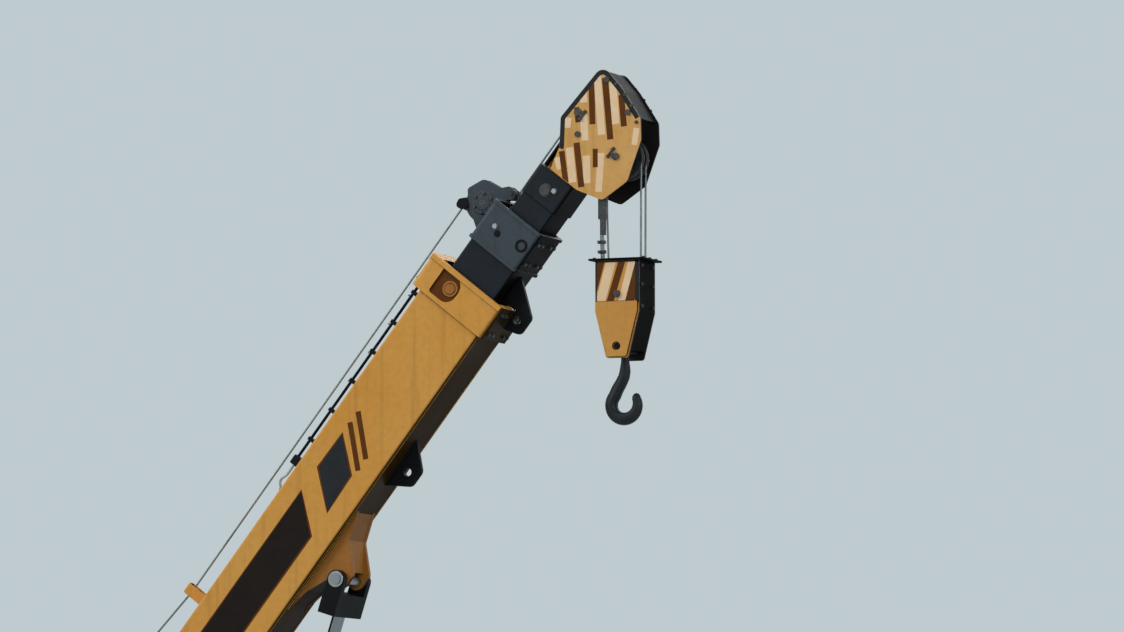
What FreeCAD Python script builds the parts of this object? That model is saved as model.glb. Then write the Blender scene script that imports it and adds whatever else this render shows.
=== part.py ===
import FreeCAD
import Part
import Sketcher
import math
import os
import re

# Telescopic boom of a small mobile crane, raised, with its hoist rope, hook block
# and lift cylinder.  Millimetres, +Z up, the boom points to +X, the near side is -Y.
# The origin is the middle of the bore of the boom foot.
# "Along" is measured up the boom from the foot, "rise" square to the boom.

doc = FreeCAD.newDocument("boom")
sheet = doc.addObject("Spreadsheet::Sheet", "sizes")

sizes = {
    # pose and clearances
    "boom_angle": 52,
    "pad_gap": 0.5,
    "fit": 0.05,
    "seat": 0.3,
    "free_gap": 6,
    # base section
    "base_front": 4900,
    "base_tail": 180,
    "base_low": -170,
    "base_height": 510,
    "base_width": 400,
    "base_plate": 10,
    "base_corner": 18,
    "web_lap": 12,
    "collar_length": 244,
    "collar_side": 15,
    "collar_over": 70,
    "collar_under": 36,
    "window_back": 189,
    "window_low": 102,
    "window_high": 281,
    "window_margin": 26,
    "window_round": 80,
    "boss_radius": 34,
    "boss_back": 118,
    "boss_rise": 168,
    "boss_sunk": 3,
    # boom foot
    "foot_bore": 40,
    "foot_tube": 75,
    "foot_over": 25,
    "cheek_plate": 15,
    "cheek_front": 420,
    "cheek_slant": 90,
    "cheek_toe": 160,
    "cheek_low": 12,
    "cheek_top": 30,
    "cheek_round": 60,
    # second section
    "side_gap": 21,
    "second_under": 53,
    "second_over": 63,
    "second_plate": 8,
    "second_corner": 14,
    "second_back": 500,
    "second_reach": 522,
    "band_length": 297,
    "band_proud": 15,
    "band_lip": 7,
    "band_lip_width": 20,
    # third section
    "third_under": 14,
    "third_over": 84,
    "third_plate": 7,
    "third_corner": 12,
    "third_back": 760,
    "third_reach": 358,
    "ledge_length": 208,
    "ledge_proud": 12,
    "lock_pin": 22,
    "lock_pin_head": 34,
    "lock_pin_back": 118,
    "lock_pin_rise": 130,
    # head section
    "head_under": 23,
    "head_over": 23,
    "head_plate": 12,
    "head_tube_wall": 8,
    "head_corner": 10,
    "head_back": 3300,
    "head_tube_front": 6060,
    "head_spread": 330,
    "head_front": 6529,
    # outline of the head's side plates: back from the front, and above or below the foot's line
    "apex_over": 69,
    "crown_back": 434,
    "crown_over": 99,
    "brow_back": 42,
    "brow_under": 126,
    "cheekbone_back": 120,
    "cheekbone_drop": 206,
    "chin_back": 228,
    "chin_drop": 296,
    "jaw_back": 492,
    "jaw_drop": 381,
    "heel_back": 688,
    "heel_drop": 317,
    "nape_ahead": 150,
    "nape_under": 11,
    "root_gap": 10,
    "root_under": 49,
    "root_drop": 134,
    "head_round": 40,
    "guard_plate": 8,
    "guard_inset": 10,
    "tie_radius": 15,
    "tie_head_radius": 19,
    "brow_tie_back": 59,
    "brow_tie_under": 13,
    "cheek_tie_back": 141,
    "cheek_tie_drop": 115,
    "crown_tie_back": 452,
    "crown_tie_under": 66,
    # slide pads
    "pad_length": 150,
    "pad_width": 70,
    "pad_inset": 20,
    "pad_edge": 20,
    "side_pad_rise": 40,
    # rope and sheaves
    "rope": 7,
    "rope_line": 183,
    "rope_side": 50,
    "rope_joint": 0.8,
    "ear_sheave": 112,
    "ear_along": 5317,
    "hold_down_bar": 25,
    "hold_down_along": 5480,
    "head_rope_over": 110,
    "idler_sheave": 90,
    "idler_along": 6190,
    "main_sheave": 122,
    "main_along": 6116,
    "main_drop": 164,
    "sheave_rim": 16,
    "sheave_wide": 36,
    "sheave_web": 14,
    "groove_ease": 0.5,
    "rim_lip": 2,
    "rim_deep": 16,
    "hub_radius": 42,
    "hub_over": 4,
    "sheave_pin": 24,
    "sheave_spacing": 80,
    # ear on the second section
    "ear_plate": 12,
    "ear_gap": 52,
    # lift cylinder and its bracket
    "pin_along": 2840,
    "pin_rise": -345,
    "lift_pin": 35,
    "lift_boss": 58,
    "bracket_inset": 60,
    "bracket_plate": 28,
    "bracket_skin": 12,
    "bracket_front": 420,
    "bracket_knee": 230,
    "knee_drop": 70,
    "bracket_back": 380,
    "bracket_hock": 200,
    "hock_drop": 34,
    "bracket_heel_drop": 100,
    "eye_x": 1250,
    "eye_z": -420,
    "yoke_gap": 23,
    "yoke_arm": 52,
    "yoke_half": 60,
    "yoke_top": 90,
    "yoke_bottom": 235,
    "pin_over": 14,
    "rod_radius": 42,
    "piston_inset": 257,
    "piston_length": 70,
    "barrel_outer": 75,
    "barrel_inner": 62,
    "barrel_length": 1276,
    "gland_length": 60,
    "gland_land": 40,
    "gland_over": 8,
    "cap_thick": 30,
    "eye_outer": 75,
    "eye_bore": 35,
    "eye_width": 90,
    # winch
    "winch_along": 330,
    "winch_over": 205,
    "winch_foot": 230,
    "winch_cap": 90,
    "winch_round": 60,
    "winch_plate": 16,
    "drum_radius": 130,
    "drum_flange": 185,
    "drum_length": 300,
    "drum_gap": 10,
    "flange_plate": 14,
    "journal": 30,
    "gear_radius": 95,
    "gear_length": 70,
    "motor_radius": 62,
    "motor_length": 120,
    "tie_plate": 20,
    "tie_high": 60,
    # rope guide and cable rail
    "guide_along": 2105,
    "guide_length": 70,
    "guide_half": 36,
    "guide_plate": 8,
    "guide_over": 48,
    "guide_round": 32,
    "guide_roller": 12,
    "rail_start": 3271,
    "rail_radius": 9,
    "rail_over": 40,
    "rail_inset": 50,
    "rail_first": 148,
    "rail_last": 62,
    "rail_clamps": 6,
    "clamp_length": 24,
    "clamp_half": 14,
    "stop_length": 60,
    "stop_half": 20,
    # lugs
    "lug_plate": 30,
    "lug_hole": 26,
    "lug_ahead": 800,
    "lug_back": 162,
    "lug_front": 201,
    "lug_half": 60,
    "lug_under": 78,
    "base_lug_drop": 80,
    "band_lug_along": 4864,
    "band_lug_drop": 90,
    "band_lug_back": 102,
    "band_lug_half": 66,
    "band_lug_under": 74,
    "band_lug_foot": 200,
    # hook block
    "block_drop": 875,
    "block_half": 150,
    "block_plate": 12,
    "block_wide": 280,
    "block_skin": 10,
    "cover_lift": 55,
    "block_top": 215,
    "block_waist": -110,
    "block_bottom": -410,
    "block_toe": 75,
    "rim_thick": 12,
    "rim_reach": 40,
    "rim_side": 20,
    "weight_plate": 18,
    "weight_inset": 8,
    "weight_over": 60,
    "block_pin": 22,
    "block_pin_over": 16,
    "trunnion_drop": 335,
    "trunnion_pin": 20,
    "trunnion_over": 6,
    "crosshead_high": 80,
    "crosshead_wide": 90,
    # hook
    "shank": 26,
    "hook_centre_drop": 700,
    "bowl_inner": 64,
    "bowl_outer": 132,
    "hook_thick": 62,
    "hook_neck": 44,
    "nut_high": 44,
    # dead end of the rope
    "dead_offset": 44,
    "anchor_drop": 195,
    "anchor_radius": 16,
    "anchor_inner": 32,
    "clevis_half": 28,
    "clevis_side": 17,
    "socket_drop": 300,
    "socket_length": 190,
    "socket_radius": 20,
    "socket_lap": 70,
}

for row, (name, number) in enumerate(sizes.items(), start=1):
    sheet.set("A%d" % row, str(number))
    sheet.setAlias("A%d" % row, name)
doc.recompute()

WORD = re.compile(r"[a-z_][a-z_0-9]*")


def linked(text):
    """The same formula with each size's name leading to its cell."""
    return WORD.sub(lambda word: "sizes." + word[0] if word[0] in sizes else word[0], str(text))


def number(text):
    """What a formula of sizes comes to."""
    result = sheet.evalExpression(str(text))
    return float(getattr(result, "Value", result))


def bind(thing, **formulas):
    for name, formula in formulas.items():
        thing.setExpression(name.replace("__", "."), linked(formula))


# derived places, as formulas of the sizes
BASE_TOP = "(base_low+base_height)"
HALF_BASE = "(base_width/2)"
SECOND_LOW = "(base_low+base_plate+second_under)"
SECOND_TOP = "(base_low+base_height-base_plate-second_over)"
HALF_SECOND = "(base_width/2-base_plate-side_gap)"
SECOND_FRONT = "(base_front+second_reach)"
THIRD_LOW = "(base_low+base_plate+second_under+second_plate+third_under)"
THIRD_TOP = "(base_low+base_height-base_plate-second_over-second_plate-third_over)"
HALF_THIRD = "(base_width/2-base_plate-second_plate-2*side_gap)"
THIRD_FRONT = "(base_front+second_reach+third_reach)"
HEAD_LOW = "(base_low+base_plate+second_under+second_plate+third_under+third_plate+head_under)"
HEAD_TOP = "(%s-third_plate-head_over)" % THIRD_TOP
HALF_HEAD = "(base_width/2-base_plate-second_plate-third_plate-3*side_gap)"
HALF_SPREAD = "(head_spread/2)"
ROPE_RISE = "(base_low+base_height+rope_line)"
EAR_RISE = "(base_low+base_height+rope_line-ear_sheave)"
HEAD_ROPE = "(%s+head_rope_over)" % HEAD_TOP
HOLD_RISE = "(%s+rope+hold_down_bar)" % HEAD_ROPE
IDLER_RISE = "(%s-idler_sheave)" % HEAD_ROPE
MAIN_RISE = "(%s-main_drop)" % HEAD_LOW
BROW_RISE = "(%s-brow_under)" % HEAD_TOP
APEX_RISE = "(%s+apex_over)" % HEAD_TOP
WINCH_RISE = "(%s+winch_over)" % BASE_TOP
OUT_SIDE = "(rope_side-sheave_spacing)"
BLOCK_SIDE = "(sheave_spacing/2)"
DEAD_SIDE = "(rope_side-sheave_spacing-dead_offset)"
RAIL_SIDE = "(base_width/2-rail_inset)"
HALF_BRACKET = "(base_width/2-bracket_inset)"
HALF_YOKE = "(base_width/2-bracket_inset+yoke_gap+yoke_arm)"
LUG_ALONG = "(pin_along+lug_ahead)"


def world_x(along, rise):
    return "((%s)*cos(boom_angle*1deg)-(%s)*sin(boom_angle*1deg))" % (along, rise)


def world_z(along, rise):
    return "((%s)*sin(boom_angle*1deg)+(%s)*cos(boom_angle*1deg))" % (along, rise)


HEAD_X = world_x("main_along", MAIN_RISE)
HEAD_Z = world_z("main_along", MAIN_RISE)
PIN_X = world_x("pin_along", "pin_rise")
PIN_Z = world_z("pin_along", "pin_rise")
LEAN = "atan((%s-eye_x)/(%s-eye_z))" % (PIN_X, PIN_Z)
EYE_DROP = "sqrt((%s-eye_x)^2+(%s-eye_z)^2)" % (PIN_X, PIN_Z)
EYE = "(-(%s))" % EYE_DROP
BARREL_TOP = "(%s+eye_outer+barrel_length)" % EYE
ROD_END = "(%s-piston_inset)" % BARREL_TOP

pieces = []


def new_piece(label, at=("0", "0", "0"), tilt="-boom_angle*1deg"):
    """A body in the boom's own directions, or upright with a tilt of 0."""
    body = doc.addObject("PartDesign::Body", label)
    body.Label = label
    turn = FreeCAD.Rotation(FreeCAD.Vector(0, 1, 0), -1)
    body.Placement = FreeCAD.Placement(FreeCAD.Vector(0, 0, 0), turn)
    bind(body, Placement__Base__x=at[0], Placement__Base__y=at[1], Placement__Base__z=at[2])
    bind(body, Placement__Rotation__Angle=tilt)
    pieces.append(body)
    return body


def finish_feature(body, feature, cut, before):
    """Recompute, and see that a cut took something away and an addition added."""
    body.Tip = feature
    doc.recompute()
    change = body.Shape.Volume - before
    if change == 0 or (change > 0) == cut:
        raise RuntimeError("%s changed %s by %.1f mm3" % (feature.Label, body.Label, change))


def volume(body):
    return 0 if body.Shape.isNull() else body.Shape.Volume


def block(body, x, y, z, cut=False):
    """A box between two places on each axis."""
    before = volume(body)
    kind = "PartDesign::SubtractiveBox" if cut else "PartDesign::AdditiveBox"
    feature = body.newObject(kind, body.Label + "_block")
    bind(feature, Length="(%s)-(%s)" % (x[1], x[0]), Width="(%s)-(%s)" % (y[1], y[0]),
         Height="(%s)-(%s)" % (z[1], z[0]))
    bind(feature, Placement__Base__x=x[0], Placement__Base__y=y[0], Placement__Base__z=z[0])
    finish_feature(body, feature, cut, before)


AXIS_TURN = {
    "x": FreeCAD.Rotation(FreeCAD.Vector(0, 1, 0), 90),
    "y": FreeCAD.Rotation(FreeCAD.Vector(1, 0, 0), -90),
    "z": FreeCAD.Rotation(),
}


def bar(body, axis, centre, radius, start, end, cut=False):
    """A round bar or bore; centre is the two other coordinates in x, y, z order."""
    before = volume(body)
    kind = "PartDesign::SubtractiveCylinder" if cut else "PartDesign::AdditiveCylinder"
    feature = body.newObject(kind, body.Label + "_bar")
    feature.Placement = FreeCAD.Placement(FreeCAD.Vector(), AXIS_TURN[axis])
    base = {"x": (start, centre[0], centre[1]), "y": (centre[0], start, centre[1]),
            "z": (centre[0], centre[1], start)}[axis]
    bind(feature, Radius=radius, Height="(%s)-(%s)" % (end, start))
    bind(feature, Placement__Base__x=base[0], Placement__Base__y=base[1],
         Placement__Base__z=base[2])
    finish_feature(body, feature, cut, before)


def draw_outline(sketch, corners):
    """A closed outline through corners (x, y) or rounded corners (x, y, radius)."""
    spots = [FreeCAD.Vector(number(c[0]), number(c[1]), 0) for c in corners]
    count = len(corners)
    arrive, leave, middle = [], [], []
    for i, corner in enumerate(corners):
        here = spots[i]
        back = (spots[i - 1] - here).normalize()
        ahead = (spots[(i + 1) % count] - here).normalize()
        radius = number(corner[2]) if len(corner) > 2 else 0
        half = back.getAngle(ahead) / 2
        away = radius / math.tan(half)
        arrive.append(here + back * away)
        leave.append(here + ahead * away)
        middle.append(here + (back + ahead).normalize() * (radius / math.sin(half)))
    first = sketch.GeometryCount
    lines = [Part.LineSegment(leave[i], arrive[(i + 1) % count]) for i in range(count)]
    sketch.addGeometry(lines, False)
    limits = []
    formulas = []

    def measure(kind, geo, pos, size, formula):
        limits.append(Sketcher.Constraint(kind, -1, 1, geo, pos, size))
        formulas.append((len(limits) - 1, formula))

    for i, corner in enumerate(corners):
        before = first + (i - 1) % count
        after = first + i
        spot = spots[i]
        if len(corner) == 2:
            limits.append(Sketcher.Constraint("Coincident", before, 2, after, 1))
            measure("DistanceX", after, 1, spot.x, corner[0])
            measure("DistanceY", after, 1, spot.y, corner[1])
            continue
        radius = number(corner[2])
        left_turn = (spot - spots[i - 1]).cross(spots[(i + 1) % count] - spot).z > 0
        begin, stop = (arrive[i], leave[i]) if left_turn else (leave[i], arrive[i])
        ring = Part.Circle(middle[i], FreeCAD.Vector(0, 0, 1), radius)
        arc = Part.ArcOfCircle(ring, ring.parameter(begin), ring.parameter(stop))
        geo = sketch.addGeometry(arc, False)
        point = sketch.addGeometry(Part.Point(spot), True)
        meets = (1, 2) if left_turn else (2, 1)
        limits.append(Sketcher.Constraint("Tangent", before, 2, geo, meets[0]))
        limits.append(Sketcher.Constraint("Tangent", after, 1, geo, meets[1]))
        limits.append(Sketcher.Constraint("PointOnObject", point, 1, before))
        limits.append(Sketcher.Constraint("PointOnObject", point, 1, after))
        measure("DistanceX", point, 1, spot.x, corner[0])
        measure("DistanceY", point, 1, spot.y, corner[1])
        limits.append(Sketcher.Constraint("Radius", geo, radius))
        formulas.append((len(limits) - 1, corner[2]))
    offset = sketch.ConstraintCount
    sketch.addConstraint(limits)
    for index, formula in formulas:
        sketch.setExpression("Constraints[%d]" % (offset + index), linked(formula))


def draw_circle(sketch, hole):
    """A circle (x, y, radius)."""
    x, y, radius = (number(part) for part in hole)
    ring = Part.Circle(FreeCAD.Vector(x, y, 0), FreeCAD.Vector(0, 0, 1), radius)
    geo = sketch.addGeometry(ring, False)
    offset = sketch.ConstraintCount
    sketch.addConstraint([
        Sketcher.Constraint("DistanceX", -1, 1, geo, 3, x),
        Sketcher.Constraint("DistanceY", -1, 1, geo, 3, y),
        Sketcher.Constraint("Radius", geo, radius),
    ])
    for index in range(3):
        sketch.setExpression("Constraints[%d]" % (offset + index), linked(hole[index]))


def new_sketch(body, plane, lift):
    sketch = body.newObject("Sketcher::SketchObject", body.Label + "_outline")
    support = [part for part in body.Origin.OriginFeatures if part.Role == plane][0]
    sketch.AttachmentSupport = (support, [""])
    sketch.MapMode = "FlatFace"
    bind(sketch, AttachmentOffset__Base__z=lift)
    return sketch


PLANES = {"side": "XZ_Plane", "section": "YZ_Plane"}


def plate(body, plane, corners, start, end, holes=(), inside=(), cut=False):
    """A flat outline given depth: side views along Y, sections along X."""
    before = volume(body)
    lift = "-(%s)" % end if plane == "side" else start
    sketch = new_sketch(body, PLANES[plane], lift)
    draw_outline(sketch, corners)
    for hole in holes:
        draw_circle(sketch, hole)
    for loop in inside:
        draw_outline(sketch, loop)
    feature = body.newObject("PartDesign::Pocket" if cut else "PartDesign::Pad",
                             body.Label + ("_cut" if cut else "_plate"))
    feature.Profile = sketch
    if cut:
        feature.Reversed = True
    bind(feature, Length="(%s)-(%s)" % (end, start))
    finish_feature(body, feature, cut, before)


def turned(body, corners):
    """A ring or roller turned about the body's Y axis, from (radius, side) corners."""
    before = volume(body)
    sketch = new_sketch(body, "XY_Plane", "0")
    draw_outline(sketch, corners)
    feature = body.newObject("PartDesign::Revolution", body.Label + "_turned")
    feature.Profile = sketch
    feature.ReferenceAxis = (sketch, ["V_Axis"])
    feature.Angle = 360
    finish_feature(body, feature, False, before)


def both_sides(near, far):
    """The same span on the far side and on the near side."""
    return (near, far), ("-(%s)" % far, "-(%s)" % near)


def rectangle(half, low, high, radius):
    return [("-(%s)" % half, low, radius), (half, low, radius),
            (half, high, radius), ("-(%s)" % half, high, radius)]


def walls(name, half, low, high, wall, corner, start, end):
    """A box section of four welded plates: side plates bent in at their edges, flat ones between."""
    webs = new_piece(name + "_webs")
    edge = "(%s-%s-web_lap)" % (half, corner)
    inner = "(%s-%s)" % (half, wall)
    bend = "%s-%s" % (corner, wall)
    roof = "%s-%s" % (high, wall)
    floor = "%s+%s" % (low, wall)
    for sign in ("", "-"):
        corners = [
            (sign + edge, low), (sign + half, low, corner), (sign + half, high, corner),
            (sign + edge, high), (sign + edge, roof), (sign + inner, roof, bend),
            (sign + inner, floor, bend), (sign + edge, floor),
        ]
        plate(webs, "section", corners, start, end)
    flanges = new_piece(name + "_flanges")
    for span in ((roof, high), (low, floor)):
        block(flanges, (start, end), ("-" + edge, edge), span)
    return webs


def ring_round(body, half, low, high, inner_half, inner_low, inner_high, corner, start, end):
    """A band round a box section."""
    inner = rectangle(inner_half, inner_low, inner_high, corner)
    outer = rectangle(half, low, high, "2*(%s)" % corner)
    return plate(body, "section", outer, start, end, inside=[inner])


def base_section():
    """The outer section's plates, and the collar round its front."""
    webs = walls("base", HALF_BASE, "base_low", BASE_TOP, "base_plate", "base_corner",
                 "-base_tail", "base_front")
    bar(webs, "y", ("0", "0"), "foot_tube+seat", "-base_width", "base_width", cut=True)
    collar = new_piece("base_collar")
    over = "(%s+seat)" % HALF_BASE
    ring_round(collar, "(%s+collar_side)" % HALF_BASE, "base_low-collar_under",
               "%s+collar_over" % BASE_TOP, over, "base_low-seat", "%s+seat" % BASE_TOP,
               "base_corner", "base_front-collar_length", "base_front")
    window(collar)
    boss = new_piece("window_bosses")
    for span in both_sides(HALF_BASE, "(%s+collar_side-boss_sunk)" % HALF_BASE):
        bar(boss, "y", ("base_front-boss_back", "boss_rise"), "boss_radius", span[0], span[1])


def window(body):
    """The D-shaped opening through both sides of the collar."""
    front = "base_front-window_margin"
    back = "base_front-window_margin-window_back"
    corners = [(back, "window_low", "window_round"), (front, "window_low", "window_round"),
               (front, "window_high", "collar_side"), (back, "window_high", "collar_side")]
    plate(body, "side", corners, "-base_width", "base_width", cut=True)


def side_pads(body, half_out, half_in, low, high, start, end):
    """Pads between the sides of two sections."""
    for span in both_sides(half_in, half_out):
        block(body, (start, end), span, (low, high))


def flat_pads(body, half, low, high, start, end):
    """Pads under or over a section, one near each side."""
    for span in both_sides("%s-pad_width" % half, half):
        block(body, (start, end), span, (low, high))


def section_pads(body, outer, inner, start, end, inside_gap, outside_gap):
    """One set of pads between two sections, each (half width, low, top, wall)."""
    half_out = "(%s-%s)" % (outer[0], outer[3])
    edge = "(%s-pad_edge)" % inner[0]
    side_pads(body, "(%s-%s)" % (half_out, outside_gap), "(%s+%s)" % (inner[0], inside_gap),
              "(%s+side_pad_rise)" % inner[1], "(%s-side_pad_rise)" % inner[2], start, end)
    flat_pads(body, edge, "(%s+%s+%s)" % (outer[1], outer[3], outside_gap),
              "(%s-%s)" % (inner[1], inside_gap), start, end)
    flat_pads(body, edge, "(%s+%s)" % (inner[2], inside_gap),
              "(%s-%s-%s)" % (outer[2], outer[3], outside_gap), start, end)


def slide_pads():
    """Front pads fixed in each outer section, and rear pads on the one that slides in it."""
    box = {
        "base": (HALF_BASE, "base_low", BASE_TOP, "base_plate"),
        "second": (HALF_SECOND, SECOND_LOW, SECOND_TOP, "second_plate"),
        "third": (HALF_THIRD, THIRD_LOW, THIRD_TOP, "third_plate"),
        "head": (HALF_HEAD, HEAD_LOW, HEAD_TOP, "head_tube_wall"),
    }
    pads = {name: new_piece(name + "_pads") for name in box}
    rows = [
        # outer section, its front, inner section, its back
        ("base", "base_front", "second", "second_back"),
        ("second", SECOND_FRONT, "third", "third_back"),
        ("third", THIRD_FRONT, "head", "head_back"),
    ]
    for outer, front, inner, back in rows:
        section_pads(pads[outer], box[outer], box[inner], "%s-pad_inset-pad_length" % front,
                     "%s-pad_inset" % front, "pad_gap", "0")
        section_pads(pads[inner], box[outer], box[inner], "%s+pad_inset" % back,
                     "%s+pad_inset+pad_length" % back, "0", "pad_gap")


def foot():
    """The tube that takes the foot pin, and the doubling plates round it."""
    tube = new_piece("foot_boss")
    half = "(%s+cheek_plate+foot_over)" % HALF_BASE
    bar(tube, "y", ("0", "0"), "foot_tube", "-" + half, half)
    bar(tube, "y", ("0", "0"), "foot_bore", "-" + half, half, cut=True)
    cheeks = new_piece("foot_cheeks")
    low = "base_low+cheek_low"
    high = "%s-cheek_top" % BASE_TOP
    corners = [("-base_tail", low), ("cheek_toe", low), ("cheek_front", "0", "cheek_round"),
               ("cheek_front-cheek_slant", high, "cheek_round"), ("-base_tail", high)]
    for near, far in both_sides(HALF_BASE, "(%s+cheek_plate)" % HALF_BASE):
        plate(cheeks, "side", corners, near, far, holes=[("0", "0", "foot_tube+seat")])


def lift_bracket():
    """Two cheeks under the base with closing plates between them, and the cylinder's pin."""
    cheeks = new_piece("lift_bracket")
    inner = "(%s-bracket_plate)" % HALF_BRACKET
    low = "(pin_rise-lift_boss)"
    corners = [
        ("pin_along+bracket_front", "base_low"),
        ("pin_along+bracket_knee", "base_low-knee_drop", "knee_drop/2"),
        ("pin_along+lift_boss*1.35", low, "lift_boss"),
        ("pin_along-lift_boss", low, "lift_boss*0.95"),
        ("pin_along-lift_boss", "base_low-bracket_heel_drop", "lift_boss/3"),
        ("pin_along-bracket_hock", "base_low-hock_drop", "lift_boss"),
        ("pin_along-bracket_back", "base_low"),
    ]
    for near, far in both_sides(inner, HALF_BRACKET):
        plate(cheeks, "side", corners, near, far, holes=[("pin_along", "pin_rise", "lift_pin+fit")])
    closing = new_piece("bracket_box")
    knee = "pin_along+bracket_knee"
    toe = "pin_along+lift_boss+bracket_skin"
    front = [
        ("pin_along+bracket_front-bracket_skin", "base_low"),
        (knee, "base_low-knee_drop+bracket_skin/3", "knee_drop/2"), (toe, "pin_rise-bracket_skin"),
        ("%s-bracket_skin" % toe, "pin_rise"),
        ("%s-bracket_skin" % knee, "base_low-knee_drop+bracket_skin", "knee_drop/2"),
        ("pin_along+bracket_front-4*bracket_skin", "base_low"),
    ]
    hock = "pin_along-bracket_hock"
    heel = "pin_along-lift_boss-bracket_skin"
    back = [
        ("pin_along-bracket_back+3*bracket_skin", "base_low"),
        (hock, "base_low-hock_drop+bracket_skin/3"),
        (heel, "base_low-bracket_heel_drop+bracket_skin"),
        (heel, "base_low-bracket_heel_drop+2*bracket_skin"),
        (hock, "base_low-hock_drop+bracket_skin*1.4"),
        ("pin_along-bracket_back+8*bracket_skin", "base_low"),
    ]
    for strip in (front, back):
        plate(closing, "side", strip, "-" + inner, inner)
    pin = new_piece("lift_pin")
    bar(pin, "y", ("pin_along", "pin_rise"), "lift_pin", "-%s-pin_over" % HALF_YOKE,
        "%s+pin_over" % HALF_YOKE)


def lift_cylinder():
    """Yoke, rod with its piston, barrel with its gland, and the lower eye."""
    at = (PIN_X, "0", PIN_Z)
    yoke = new_piece("lift_yoke", at, LEAN)
    block(yoke, ("-yoke_half", "yoke_half"), ("-" + HALF_YOKE, HALF_YOKE),
          ("-yoke_bottom", "-yoke_top"))
    arm = [("-yoke_half", "-yoke_top-yoke_half/3"), ("yoke_half", "-yoke_top-yoke_half/3"),
           ("yoke_half", "yoke_half", "yoke_half*0.98"),
           ("-yoke_half", "yoke_half", "yoke_half*0.98")]
    for near, far in both_sides("(%s-yoke_arm)" % HALF_YOKE, HALF_YOKE):
        plate(yoke, "side", arm, near, far)
    bar(yoke, "y", ("0", "0"), "lift_pin+fit", "-2*" + HALF_YOKE, "2*" + HALF_YOKE, cut=True)
    rod = new_piece("lift_rod", at, LEAN)
    bar(rod, "z", ("0", "0"), "rod_radius", ROD_END, "-yoke_bottom")
    bar(rod, "z", ("0", "0"), "barrel_inner-fit", ROD_END, "%s+piston_length" % ROD_END)
    barrel = new_piece("lift_barrel", at, LEAN)
    foot_end = "(%s+eye_outer)" % EYE
    low = "(%s+cap_thick)" % foot_end
    bar(barrel, "z", ("0", "0"), "barrel_outer", low, BARREL_TOP)
    bar(barrel, "z", ("0", "0"), "barrel_outer+gland_over", "%s-gland_length" % BARREL_TOP,
        BARREL_TOP)
    bar(barrel, "z", ("0", "0"), "barrel_inner", low, "%s-gland_land" % BARREL_TOP, cut=True)
    bar(barrel, "z", ("0", "0"), "rod_radius+fit", "%s-gland_length" % BARREL_TOP,
        BARREL_TOP, cut=True)
    lower = new_piece("lift_eye", at, LEAN)
    bar(lower, "z", ("0", "0"), "barrel_outer", foot_end, low)
    bar(lower, "y", ("0", EYE), "eye_outer", "-eye_width/2", "eye_width/2")
    block(lower, ("-eye_outer*0.7", "eye_outer*0.7"), ("-eye_width/2", "eye_width/2"),
          (EYE, "%s+cap_thick/2" % foot_end))
    bar(lower, "y", ("0", EYE), "eye_bore", "-eye_width", "eye_width", cut=True)


def winch():
    """Side plates on the base's top, ties between them, motor with gear, and the drum."""
    span = "(drum_length/2+drum_gap)"
    far = "(%s+winch_plate)" % span
    frame = new_piece("winch_frame")
    corners = [
        ("winch_along-winch_foot", BASE_TOP), ("winch_along+winch_foot", BASE_TOP),
        ("winch_along+winch_cap", "%s+winch_cap" % WINCH_RISE, "winch_round"),
        ("winch_along-winch_cap", "%s+winch_cap" % WINCH_RISE, "winch_round"),
    ]
    for near, out in both_sides(span, far):
        plate(frame, "side", corners, near, out,
              holes=[("winch_along", WINCH_RISE, "journal+fit")])
    ties = new_piece("winch_ties")
    edge = "winch_foot-tie_plate/4"
    for place in (("winch_along-%s" % edge, "winch_along-%s+tie_plate" % edge),
                  ("winch_along+%s-tie_plate" % edge, "winch_along+%s" % edge)):
        block(ties, place, ("-" + span, span), (BASE_TOP, "%s+tie_high" % BASE_TOP))
    motor = new_piece("winch_motor")
    gear_end = "(%s+gear_length)" % far
    bar(motor, "y", ("winch_along", WINCH_RISE), "gear_radius", far, gear_end)
    bar(motor, "y", ("winch_along", WINCH_RISE), "motor_radius", gear_end,
        "%s+motor_length" % gear_end)
    drum = new_piece("winch_drum", (world_x("winch_along", WINCH_RISE), "0",
                                    world_z("winch_along", WINCH_RISE)))
    half = "(drum_length/2)"
    turned(drum, [
        ("0", "-" + far), ("journal", "-" + far), ("journal", "-" + half),
        ("drum_flange", "-" + half), ("drum_flange", "-%s+flange_plate" % half),
        ("drum_radius", "-%s+flange_plate" % half), ("drum_radius", "%s-flange_plate" % half),
        ("drum_flange", "%s-flange_plate" % half), ("drum_flange", half), ("journal", half),
        ("journal", far), ("0", far),
    ])


def rope_guide():
    """A hoop of bent strip over the rope, with a roller under the rope and one over it."""
    guide = new_piece("rope_guide")
    start, end = ("guide_along-guide_length/2", "guide_along+guide_length/2")
    top = "(%s+guide_over)" % ROPE_RISE
    near, far = ("(rope_side-guide_half)", "(rope_side+guide_half)")
    inner_near, inner_far = (near + "+guide_plate", far + "-guide_plate")
    inner_round = "guide_round-guide_plate"
    plate(guide, "section", [
        (far, BASE_TOP), (far, top, "guide_round"), (near, top, "guide_round"),
        (near, BASE_TOP), (inner_near, BASE_TOP),
        (inner_near, "%s-guide_plate" % top, inner_round),
        (inner_far, "%s-guide_plate" % top, inner_round), (inner_far, BASE_TOP),
    ], start, end)
    reach = "(rope+guide_roller+seat)"
    for rise in ("%s-%s" % (ROPE_RISE, reach), "%s+%s" % (ROPE_RISE, reach)):
        bar(guide, "y", ("guide_along", rise), "guide_roller", near, far)


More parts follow.
